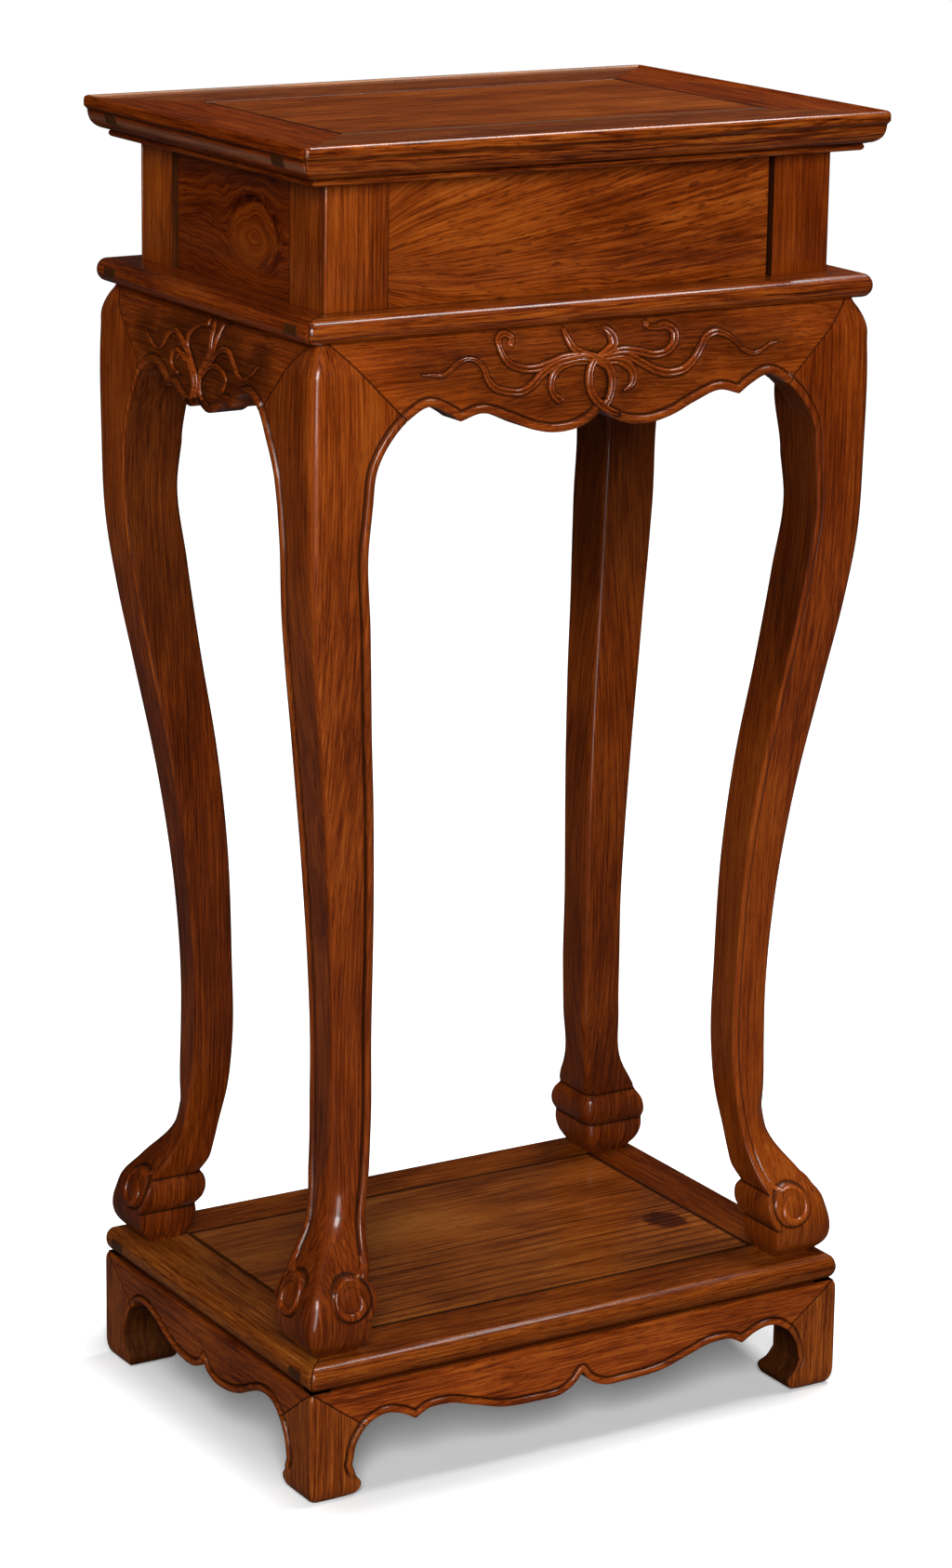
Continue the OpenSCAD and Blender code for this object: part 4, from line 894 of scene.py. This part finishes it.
def on_foot(x_sign, y_sign, side):
    """Puts a scroll on the front or side face of the foot of one corner's leg."""

    def lay(u, h, out):
        d = face_depth(u, h) - out
        inset, depth = (u, d) if side == "front" else (d, u)
        return np.stack([x_sign * (LEG_W / 2 - inset), y_sign * (LEG_D / 2 - depth), h + LEG_Z], -1)
    return lay


# Wood: polished rosewood, drawn in millimetres on Object coordinates

# Colours of the wood, from its darkest lines to its palest streaks
DARK, MIDDLE, BRIGHT, PALE = ((0.030, 0.0032, 0.0003), (0.125, 0.0190, 0.0014),
                              (0.240, 0.0450, 0.0040), (0.36, 0.090, 0.0100))
# Dirt and painted shade up to 1, painted highlight and sheen with some old wax down to -1
SOIL_AND_SHADE, SHEEN_AND_WAX = (0.007, 0.0024, 0.0006), (0.50, 0.34, 0.22)


def wood(name, grain, tone, olive, contrast, band, wander, lines, shift, figure=None, rough=0.36,
         flecks=0.5, rings=14, polish=0.85):
    """Wood with its grain along X, Y or Z. tone is its lightness, olive how green it leans, contrast
    how strongly it is drawn, band the width of its streaks, wander how far they stray, lines how dark
    its growth lines are, and shift where in the pattern it is cut. figure bends the grain and returns
    it with how much darker the wood is there, rough is the roughness, flecks how dark the pores are,
    rings how close the growth lines lie, and polish how much the surface shines. In it, a and b are
    the two directions across the grain."""
    material = bpy.data.materials.new(name)
    n = fresh_nodes(material)
    place = n.add("ShaderNodeSeparateXYZ", None, {0: n.add("ShaderNodeTexCoord", out="Object")})
    x, y, z = place * 1000 + shift, place.other("Y") * 1000 - shift, place.other("Z") * 1000
    along, a, b = {"X": (x, y, z), "Y": (y, x, z), "Z": (z, x, y)}[grain]
    if grain == "Z":
        # Across a face that looks along X the grain is drawn over Y, and the other way round
        turn = n.add("ShaderNodeSeparateXYZ", None, {0: n.add("ShaderNodeNewGeometry", out="Normal")})
        side = (abs(turn) - abs(turn.other("Y"))).between(-0.25, 0.25)
        a, b = a + side * (b - a), (b + side * (a - b)) * 0.22
    # Broad clouds, then what the figure does to the grain, and how its streaks stray
    cloud = n.noise(along * 0.010, a * 0.03, b * 0.03, 2)
    shade = 0.0
    if figure:
        along, a, b, shade = figure(n, along, a, b)
    drift = (n.noise(along * 0.006, a * 0.02, b * 0.02, 2) - 0.5) * wander
    a, b = a + drift, b - drift
    # Streaks, fibres and pores, and growth lines with a dark edge
    bands = n.noise(along * 0.004, a / band, b / band, 2, 0.5)
    fibres = n.noise(along * 0.018, a * 0.85, b * 0.85, 3, 0.7)
    pores = n.noise(along * 0.09, a * 1.1, b * 1.1, 1).between(0.59, 0.68)
    growth = n.noise(along * 0.0016, a * 0.03, b * 0.03, 2, 0.55) * rings
    ring = growth - growth.math("FLOOR", growth)
    edge = 1 - ring.between(0.0, 0.30).at_most(1 - ring.between(0.93, 1.0))
    lightness = (bands - 0.5) * 0.55 * contrast + (fibres - 0.5) * 1.7 * contrast
    lightness = lightness + (cloud - 0.5) * 0.6 - (edge - 0.25) * lines - shade + 0.5
    # The lightness picks the colour, which the pores, dirt with painted shade, and painted highlight change
    tint = (tone, tone * (1 + olive), tone * (1 + olive * 2.5))
    stops = [(at, tuple(c * t for c, t in zip(colour, tint)))
             for at, colour in ((0.05, DARK), (0.38, MIDDLE), (0.62, BRIGHT), (0.95, PALE))]
    colour = n.add("ShaderNodeValToRGB", {"stops": stops}, {"Fac": lightness})
    colour = n.blend(pores * flecks, colour, (*[c * tone for c in DARK], 1))
    grime = n.add("ShaderNodeAttribute", {"attribute_name": "grime"}, out="Fac")
    # Dirt and painted shade darken the colour; painted highlight and sheen, with some old wax, pale it
    colour = n.blend((grime * 0.95).at_least(0), colour, (*SOIL_AND_SHADE, 1))
    colour = n.blend((grime * -1).at_least(0), colour, (*SHEEN_AND_WAX, 1))
    # Polish over a surface that isn't quite flat
    swell = n.noise(along * 0.02, a * 0.05, b * 0.05, 1)
    bump = n.add("ShaderNodeBump", None, {
        "Height": fibres * 0.08 - pores * 0.10 + swell * 0.5, "Strength": 1.0, "Distance": 0.001})
    roughness = ((fibres - 0.5) * 0.3 + pores * 0.15 + grime * 0.3 + rough).at_most(0.9)
    coat = ((1 - grime * 1.2) * polish).at_least(0).at_most(1)
    surface = n.add("ShaderNodeBsdfPrincipled", None, {
        "Base Color": colour, "Roughness": roughness, "Normal": bump, "Specular IOR Level": 0.06,
        "Coat Weight": coat, "Coat IOR": 1.42, "Coat Roughness": 0.16})
    n.add("ShaderNodeOutputMaterial", None, {"Surface": surface})
    return material


def flame(n, along, a, b):
    """Grain that fans out from the left end of the waist's front panel."""
    fan_x, fan_z = -168, 858
    spread = (along - fan_x).at_least(8) / 120
    warp = (n.noise(along * 0.012, a * 0.02, b * 0.025, 2) - 0.5) * 12
    fanned = (b - fan_z + warp * 0.5) / (spread ** 0.6 + 0.30) - along * 0.055
    return along + warp, a, fanned, along.between(-120, 40) * 0.08 - 0.05


def knot(n, along, a, b):
    """Rounded knot in the waist's side panels: a few rings inside a dark edge, and the grain bent
    round it."""
    knot_y, knot_z, stretch = -30, 868, 0.66
    warp = (n.noise(along * 0.018, a * 0.02, b * 0.022, 2) - 0.5) * 16
    x, z = (along - knot_y + warp) * stretch, b - knot_z + warp * 0.8
    ripple = (n.noise(along * 0.05, a * 0.05, b * 0.06, 2) - 0.5) * 8
    away = (x ** 2 + z ** 2) ** 0.5 + ripple
    inside = 1 - away.between(20, 27)
    round_it = z * (1 - 450 / (away ** 2).at_least(450)) + ripple * 0.5
    ragged = n.noise(along * 0.08, a * 0.05, b * 0.1, 2).between(0.3, 0.55)
    rim = away.between(19, 23) * (1 - away.between(24, 31)) * (z - x).between(-35, 20) * ragged
    spot = round_it + inside * ((away * 0.6 + z * 0.25) - round_it)
    darker = rim * 0.4 - inside * 0.12 + x.between(-20, -60) * 0.1
    return along * (1 - inside * 0.7), a, spot + warp * 0.4, darker


def striped(n, along, a, b):
    """Base board: thin dark stripes in its front half, paler at the back, partly its own colour and partly a
    painted reflection, darker to the right with a painted reflection of the back right leg, and stained.
    """
    stripe_gap, stain_x, stain_y = 10.5, 149, -38
    wobble = (n.noise(along * 0.005, a * 0.02, b, 2) - 0.5) * 16
    turn = (a + wobble) / stripe_gap
    phase = turn - turn.math("FLOOR", turn)
    broken = n.noise(along * 0.012, a * 0.06, b, 2).between(0.34, 0.52)
    stripe = (1 - phase.between(0.0, 0.42)) * (a * -1).between(-30, 15) * broken
    # Paler at the back: partly the board's own colour, partly a painted reflection
    pale = (1 - ((along + 30) / 100) ** 2 - ((a - 40) / 45) ** 2).at_least(0)
    # Darker to the right: a painted reflection of the back right leg
    red = along.between(10, 60) * a.between(-60, 10)
    ragged = n.noise(along * 0.09, a * 0.09, b, 2) * 14
    away = ((along - stain_x) ** 2 * 1.2 + (a - stain_y) ** 2) ** 0.5 + ragged
    stain = 1 - away.between(19, 26)
    return along, a, b, stripe * 0.34 + red * 0.13 - pale * 0.14 + stain * 0.42 - 0.07


def painted_top_light(n, along, a, b):
    """Rail of the top, with painted light that makes its upper face paler."""
    return along, a, b, -0.10 * b.between(STAND_H - 4, STAND_H - 2)


def uneven(amount, low, high):
    """Leg wood that is darker by an amount below one height than above another."""

    def figure(n, along, a, b):
        return along, a, b, (0.85 - along.between(low, high)) * amount
    return figure


# The columns are name, grain, tone, olive, contrast, band, wander, lines, shift and figure
WOODS = {
    "top_board": wood("olive brown top board", "X", 1.05, 0.08, 1.05, 3.0, 5, 0.16, 31, flecks=0.4, rings=9,
                      polish=0.35),
    "top_long": wood("brown top rail", "X", 0.88, -0.02, 1.5, 2.6, 10, 0.2, 77, painted_top_light, polish=0.8),
    "top_short": wood("red brown top rail", "Y", 0.82, -0.16, 0.85, 2.2, 8, 0.12, 12, polish=0.2),
    "post": wood("brown post wood", "Z", 1.07, 0.03, 0.65, 1.3, 1.5, 0.08, 5, flecks=0.35),
    "post_olive": wood("olive brown post wood", "Z", 1.47, 0.12, 0.6, 1.3, 1.5, 0.08, 47, flecks=0.35),
    "post_red": wood("red brown post wood", "Z", 0.84, -0.12, 0.65, 1.3, 1.5, 0.08, 83, flecks=0.35),
    "flame": wood("flame figured panel", "X", 1.10, 0.03, 0.78, 2.4, 5, 0.08, 0, flame, flecks=0.6),
    "knot": wood("knotty panel", "Y", 0.74, -0.18, 0.75, 2.4, 5, 0.08, 0, knot),
    "moulding_long": wood("brown moulding wood", "X", 0.92, -0.02, 1.2, 2.2, 6, 0.16, 140, polish=1.0),
    "moulding_short": wood("red moulding wood", "Y", 0.92, -0.14, 0.8, 2.2, 6, 0.10, 58),
    "leg": wood("brown leg wood", "Z", 1.04, 0.0, 0.72, 1.5, 4, 0.08, 9, uneven(0.09, 380, 640), flecks=0.4),
    "leg_red": wood("red brown leg wood", "Z", 0.96, -0.08, 0.72, 1.5, 4, 0.10, 27, uneven(-0.14, 360, 620),
                    flecks=0.4),
    "leg_dark": wood("dark leg wood", "Z", 1.12, 0.0, 0.72, 1.5, 4, 0.08, 9, uneven(0.18, 450, 740),
                     flecks=0.4),
    "apron_long": wood("brown apron wood", "X", 1.18, 0.0, 0.62, 1.4, 14, 0.08, 91),
    "apron_short": wood("red apron wood", "Y", 0.98, -0.05, 0.6, 1.4, 12, 0.08, 66),
    "base_board": wood("striped base board", "X", 1.06, 0.32, 0.7, 2.2, 5, 0.10, 0, striped, flecks=0.45,
                       rings=7, polish=1.0),
    "base_long": wood("olive base rail", "X", 0.88, 0.14, 0.8, 2.2, 10, 0.14, 44, polish=0.4),
    "base_short": wood("olive dark base rail", "Y", 1.06, 0.36, 0.8, 2.2, 8, 0.12, 23, polish=0.6),
    "base_red": wood("red base rail", "Y", 0.50, -0.05, 0.8, 2.2, 8, 0.10, 63, polish=0.4),
    "base_skirt_long": wood("brown base apron wood", "X", 1.22, -0.02, 0.85, 2.0, 12, 0.14, 105),
    "base_skirt_short": wood("dark base apron wood", "Y", 1.04, 0.0, 0.8, 2.0, 12, 0.14, 130),
    "foot": wood("red brown foot wood", "Z", 1.24, 0.2, 0.85, 1.6, 6, 0.10, 71),
    "tenon": wood("dark end grain", "X", 0.30, 0.6, 0.6, 2, 2, 0.0, 3, rough=0.5)}

# Pieces that are darker or paler than their fellows
OWN_WOOD = {"post_back_left": "post_olive", "post_front_right": "post_red", "leg_front_right": "leg_red",
            "leg_back_left": "leg_dark", "base_rail_right": "base_red"}


def wood_of(name, usual):
    """Wood of a piece: its own, or the usual one of its kind."""
    return WOODS[OWN_WOOD.get(name, usual)]


# Members, aprons and carving of the four sides

SIDES = ("front", "back", "left", "right")
TOP_SECTION = top_section()
MOULDING_SECTION = bullnose_section(MOULDING_Z, MOULDING_T, MOULDING_MEMBER)
BASE_SECTION = bullnose_section(FOOT_H, BASE_T, BASE_MEMBER)
loops_of = {}
for side in SIDES:
    long_side = side in ("front", "back")
    run, face = ("long", "front") if long_side else ("short", "side")
    member("moulded_top_" + side, "top_frame_" + side, WOODS["top_" + run],
           TOP_W, TOP_D, TOP_SECTION, side, TOP_JOINT[side], TOP_CREASES, TOP_SHEEN.get(side, ()))
    member("moulded_frame_" + side, "moulding_" + side, WOODS["moulding_" + run],
           MOULDING_W, MOULDING_D, MOULDING_SECTION, side)
    member("base_rail_" + side, "base_frame_" + side,
           wood_of("base_rail_" + side, "base_" + run), BASE_W, BASE_D, BASE_SECTION, side)
    carving = FRONT_CARVING if long_side else SIDE_CARVING
    for label, node, slot, own, layer, strands in (
            ("cusped_apron_", "apron_", "rail_wood", "apron_", LEGS, carving),
            ("base_skirt_", "base_apron_", "base_wood", "base_skirt_", FEET, ())):
        if (node, run) not in loops_of:
            loops_of[node, run] = apron_loops(layer, face, strands)
        loops, grime = loops_of[node, run]
        piece(label + side, node + side, turned(loops, side).reshape(-1, 3), loft(loops),
              WOODS[own + run], grime, sharp=40)
    ridges("tendrils_" + side, carving, STRAND_W * FINER[face], STRAND_H * FINER[face],
           STRAND_GROOVE, WOODS["apron_" + run], on_apron(side))
    if long_side:
        ridges("buds_" + side, FRONT_BUDS, STRAND_W, STRAND_H * BUD_HIGHER, 0,
               WOODS["apron_" + run], on_apron(side))


# Legs, feet and waist posts of the four corners

# Rows up a leg: close at the foot and over the arch, with more at the creases and where the mitres meet
# the arches
leg_rows = np.unique(np.concatenate([
    np.arange(0, 70, 0.9), np.arange(70, 590, 3.0), np.arange(590, LEG_H, 1.1),
    [25.0, 25.5, 51.2, LEG_H - ARCH_DEPTH, LEG_H], LEG_H - np.array([53.2, 53.6, 51.8, 52.2])]))
foot_rows = np.unique(np.concatenate([np.arange(0, FOOT_H, 0.8), [FOOT_H - BASE_ARCH_DEPTH, FOOT_H]]))
# Radius of the outer corner: rounder up the shaft, on the roll and between the roll and the ankle, and
# sharper where the roll ends and at the floor
leg_corner = 3.6 + 4.0 * ramp(leg_rows, 480, 640) + 6.5 * hump(leg_rows, 36, 13) - 1.6 * hump(leg_rows, 66, 9)
leg_corner = leg_corner + 15 * hump(leg_rows, 100, 25) - 1.5 * hump(leg_rows, 0, 10)
foot_corner = 1.6 + 1.6 * hump(foot_rows, 0, 9)
# Inner faces get painted shade: the feet's all over, the legs' more so high up behind the aprons
leg_loops = post_sheets(
    LEGS, leg_rows, np.concatenate([leg_inner(), foot_roll()[1:]]), leg_corner, leg_detail, crown=0.5,
    inner_dark=0.30 + 0.34 * ramp(leg_rows, 380, 500), inner_r=4.5 + 3.5 * ramp(leg_rows, 66, 50), spread=4,
    creases=CREASES)
foot_loops = post_sheets(
    FEET, foot_rows, foot_inner(), foot_corner, foot_detail, crown=0.2,
    inner_dark=np.full(len(foot_rows), 0.9), inner_r=np.full(len(foot_rows), 2.0), spread=0)

# Waist post: two wings that meet in a fine arris, with the joint beside it, and how dark each point is:
# dark at the joints, painted shade on the inner faces, and below 0 painted highlight on the arris
WING, WING_T = POST_W - 0.3, POST_T
POST_OUTLINE = np.concatenate([
    [[WING - 1.0, 0], [WING, 0], [WING, WING_T], [WING_T, WING_T], [WING_T, WING], [0, WING],
     [0, WING - 1.0], [0, 4.0], [0, 3.2], [0.7, 2.8], [0, 2.4]],
    arc([1.4, 1.4], 1.4, 1.4, 180, 270, 4), [[2.2, 0]]])
POST_SHADES = [0, .9, 1, 1, 1, .9, 0, 0, .8, .9, 0, -.4, -.6, -.75, -.75, -.6, 0]

for x_side, x_sign in (("left", -1), ("right", 1)):
    for y_side, y_sign in (("front", -1), ("back", 1)):
        place = y_side + "_" + x_side
        for label, node, slot, own, layer, low_z, (loops, grime) in (
                ("cabriole_leg_", "leg_", "leg_wood", "leg", LEGS, LEG_Z, leg_loops),
                ("bracket_foot_", "foot_", "base_wood", "foot", FEET, 0, foot_loops)):
            verts = np.stack([x_sign * (layer.width / 2 - loops[..., 0]),
                              y_sign * (layer.depth / 2 - loops[..., 1]), loops[..., 2] + low_z], 2)
            piece(label + place, node + place, verts.reshape(-1, 3), loft(loops),
                  wood_of(own + "_" + place, own), grime, sharp=40)
        for face in ("front", "side"):
            ridges("scroll_%s_%s" % (face, place), [volute()], VOLUTE_W, VOLUTE_H, 0,
                   wood_of("leg_" + place, "leg"), on_foot(x_sign, y_sign, face), VOLUTE_ROOT)
        outline = np.array([x_sign, y_sign]) * ([WAIST_W / 2, WAIST_D / 2] - POST_OUTLINE)
        board("waist_corner_post_" + place, "waist_post_" + place,
              wood_of("post_" + place, "post"), outline, WAIST_Z, TOP_Z, wear=0.3, shades=POST_SHADES)


# Dark ends of the through tenons

for name, slot, width, depth, section, (in_y, up), base in (
        ("top_tenon_ends", "top_frame_wood", TOP_W, TOP_D, TOP_SECTION, TOP_TENON, TOP_Z),
        ("moulding_tenon_ends", "rail_wood", MOULDING_W, MOULDING_D, MOULDING_SECTION, MOULDING_TENON,
         MOULDING_Z),
        ("base_tenon_ends", "base_wood", BASE_W, BASE_D, BASE_SECTION, BASE_TENON, FOOT_H)):
    tenon_ends(name, WOODS["tenon"], width, depth, section, in_y, base + up)


# Waist boards: a field with a tongue on each side, dark beside the joint, with painted shade in the gap

TONGUE_SHADES = [.5, 0, 0, .7, 1, 1, 1, 1, 1, 1, 1]
TONGUE_GAP, TONGUE_FRONT, TONGUE_BACK = 5, 4.2, 9


def with_tongues(near, far, out):
    """Section of a waist board, drawn for the front, from its near to its far end. out is how far its
    face stands from the middle, and the gap is left at the far end."""
    front, back = TONGUE_FRONT - out, TONGUE_BACK - out
    return np.array([[near, -out], [near + 0.8, -out], [far - 0.9, -out], [far, -out], [far, front],
                     [far + TONGUE_GAP, front], [far + TONGUE_GAP, back], [near - 3, back],
                     [near - 3, front], [near, front], [near, 0.4 - out]])


for side in SIDES:
    if side in ("front", "back"):
        length, out, own = WAIST_W, WAIST_D / 2 - 1.5, "flame"
    else:
        length, out, own = WAIST_D, WAIST_W / 2 - 3.2, "knot"
    outline = with_tongues(-length / 2 + POST_W + 0.15, length / 2 - POST_W - 3.0, out)
    board("waist_board_" + side, "waist_panel_" + side, WOODS[own], turned(outline, side),
          WAIST_Z + JOINT, TOP_Z - JOINT, wear=0.3, shades=TONGUE_SHADES)


# Boards of the top and the base, and the battens under them

for name, node, width, depth, member_w, level, thick in (
        ("top_board", "top_panel", TOP_W, TOP_D, TOP_MEMBER, STAND_H - LIP_H, TOP_BOARD_T),
        ("base_board", "base_panel", BASE_W, BASE_D, BASE_MEMBER, LEG_Z, BASE_BOARD_T)):
    x, y = width / 2 - member_w - JOINT, depth / 2 - member_w - JOINT
    board(name, node, WOODS[name], rectangle(-x, -y, x, y), level - thick, level, wear=0.6,
          dark=0.9)

for node in ("top_batten_left", "top_batten_right", "base_batten"):
    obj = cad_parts[node]
    obj.data.materials.clear()
    obj.data.materials.append(WOODS["base_short"])


# Camera at the photograph's place: where it stands, how it is turned, its lens and framing

CAMERA_AT = Vector((-1.60175, -2.62179, 1.3076))
YAW, PITCH, ROLL = 0.5437, -0.2648, 0.0132

scene = bpy.context.scene
forward = Vector((math.sin(YAW) * math.cos(PITCH), math.cos(YAW) * math.cos(PITCH), math.sin(PITCH)))
right = Vector((math.cos(YAW), -math.sin(YAW), 0))
up = right.cross(forward)
right, up = right * math.cos(ROLL) + up * math.sin(ROLL), up * math.cos(ROLL) - right * math.sin(ROLL)
camera = bpy.data.objects.new("camera", bpy.data.cameras.new("camera"))
scene.collection.objects.link(camera)
camera.matrix_world = Matrix.Translation(CAMERA_AT) @ Matrix((right, up, -forward)).transposed().to_4x4()
camera.data.sensor_width = 36
camera.data.lens = 101.41
camera.data.shift_x = 0.0128
camera.data.shift_y = -0.0185
camera.data.clip_end = 200
scene.camera = camera
scene.view_settings.view_transform = "Standard"


# Floor and backdrop: white to the camera, and dark or dim to rays that would light the wood or shine on it

# How the floor looks to the camera: its colour, its own light under the stand, and how far from the
# base it turns white. The part under the stand is moved to the right and ends inside the base's sides.
FLOOR_LIT, FLOOR_GLOW, FLOOR_FADE = 0.82, 0.12, 0.11
UNDER_SHIFT, UNDER_INSET = 0.012, 22
# Colour of the floor to other rays, and the strength of the world to them, with what glossy ones add
FLOOR_DARK = 0.07
WORLD_DIM, WORLD_GLOSS = 0.008, 0.012


def seen_white(n):
    """What tells the kinds of rays apart, and 1 for those that see the white floor and backdrop."""
    rays = n.add("ShaderNodeLightPath")
    return rays, rays.at_least(rays.other("Is Transmission Ray"))


def pale_floor():
    """Floor that keeps the stand's shadow and is a little greyer near the base."""
    material = bpy.data.materials.new("pale floor")
    n = fresh_nodes(material)
    rays, seen = seen_white(n)
    dark, lit = [n.add("ShaderNodeBsdfDiffuse", None, {"Color": (tone, tone, tone, 1)})
                 for tone in (FLOOR_DARK, FLOOR_LIT)]
    spot = n.add("ShaderNodeSeparateXYZ", None, {0: n.add("ShaderNodeTexCoord", out="Object")})
    beside = (abs(spot - UNDER_SHIFT) - (BASE_W / 2 - UNDER_INSET) * 0.001).at_least(0)
    before = (abs(spot.other("Y")) - BASE_D / 2 * 0.001).at_least(0)
    far = ((beside ** 2 + before ** 2) ** 0.5).between(0, FLOOR_FADE)
    glow = n.add("ShaderNodeEmission", None, {
        "Color": (1, 1, 1, 1), "Strength": far * (1 - FLOOR_GLOW) + FLOOR_GLOW})
    white = n.add("ShaderNodeAddShader", None, {0: lit, 1: glow})
    mixed = n.add("ShaderNodeMixShader", None, {0: seen, 1: dark, 2: white})
    n.add("ShaderNodeOutputMaterial", None, {"Surface": mixed})
    return material


def white_world():
    """Backdrop all round the stand."""
    world = bpy.data.worlds.new("studio")
    n = fresh_nodes(world)
    rays, seen = seen_white(n)
    strength = seen + (1 - seen) * (rays.other("Is Glossy Ray") * WORLD_GLOSS + WORLD_DIM)
    backdrop = n.add("ShaderNodeBackground", None, {"Color": (1, 1, 1, 1), "Strength": strength})
    n.add("ShaderNodeOutputWorld", None, {"Surface": backdrop})
    return world


# Half the floor's size, and its height, which is just under the feet
FLOOR_HALF, FLOOR_Z = 30, -0.0004
floor_mesh = bpy.data.meshes.new("studio_floor")
floor_mesh.from_pydata([(x * FLOOR_HALF, y * FLOOR_HALF, FLOOR_Z)
                        for x, y in ((-1, -1), (1, -1), (1, 1), (-1, 1))], [], [(0, 1, 2, 3)])
floor = bpy.data.objects.new("studio_floor", floor_mesh)
scene.collection.objects.link(floor)
floor_mesh.materials.append(pale_floor())
scene.world = white_world()


# Soft lights: one above and behind the camera, a low one behind it, and one high over the right of the
# stand

def softbox(name, place, aim, wide, high, power):
    """A soft light of wide by high metres, turned to what it aims at."""
    lamp = bpy.data.lights.new(name, "AREA")
    lamp.shape, lamp.size, lamp.size_y, lamp.energy = "RECTANGLE", wide, high, power
    obj = bpy.data.objects.new(name, lamp)
    scene.collection.objects.link(obj)
    obj.location = place
    obj.rotation_euler = (Vector(aim) - Vector(place)).to_track_quat("-Z", "Y").to_euler()


softbox("key", (-1.88, -2.88, 2.2), (0, 0, 0.6), 1.3, 1.5, 128)
softbox("strip", (-1.95, -3.0, 0.85), (0, 0, 0.4), 1.0, 1.7, 42)
softbox("overhead", (1.15, -0.1, 2.9), (0, 0, 0.6), 1.3, 0.9, 66)
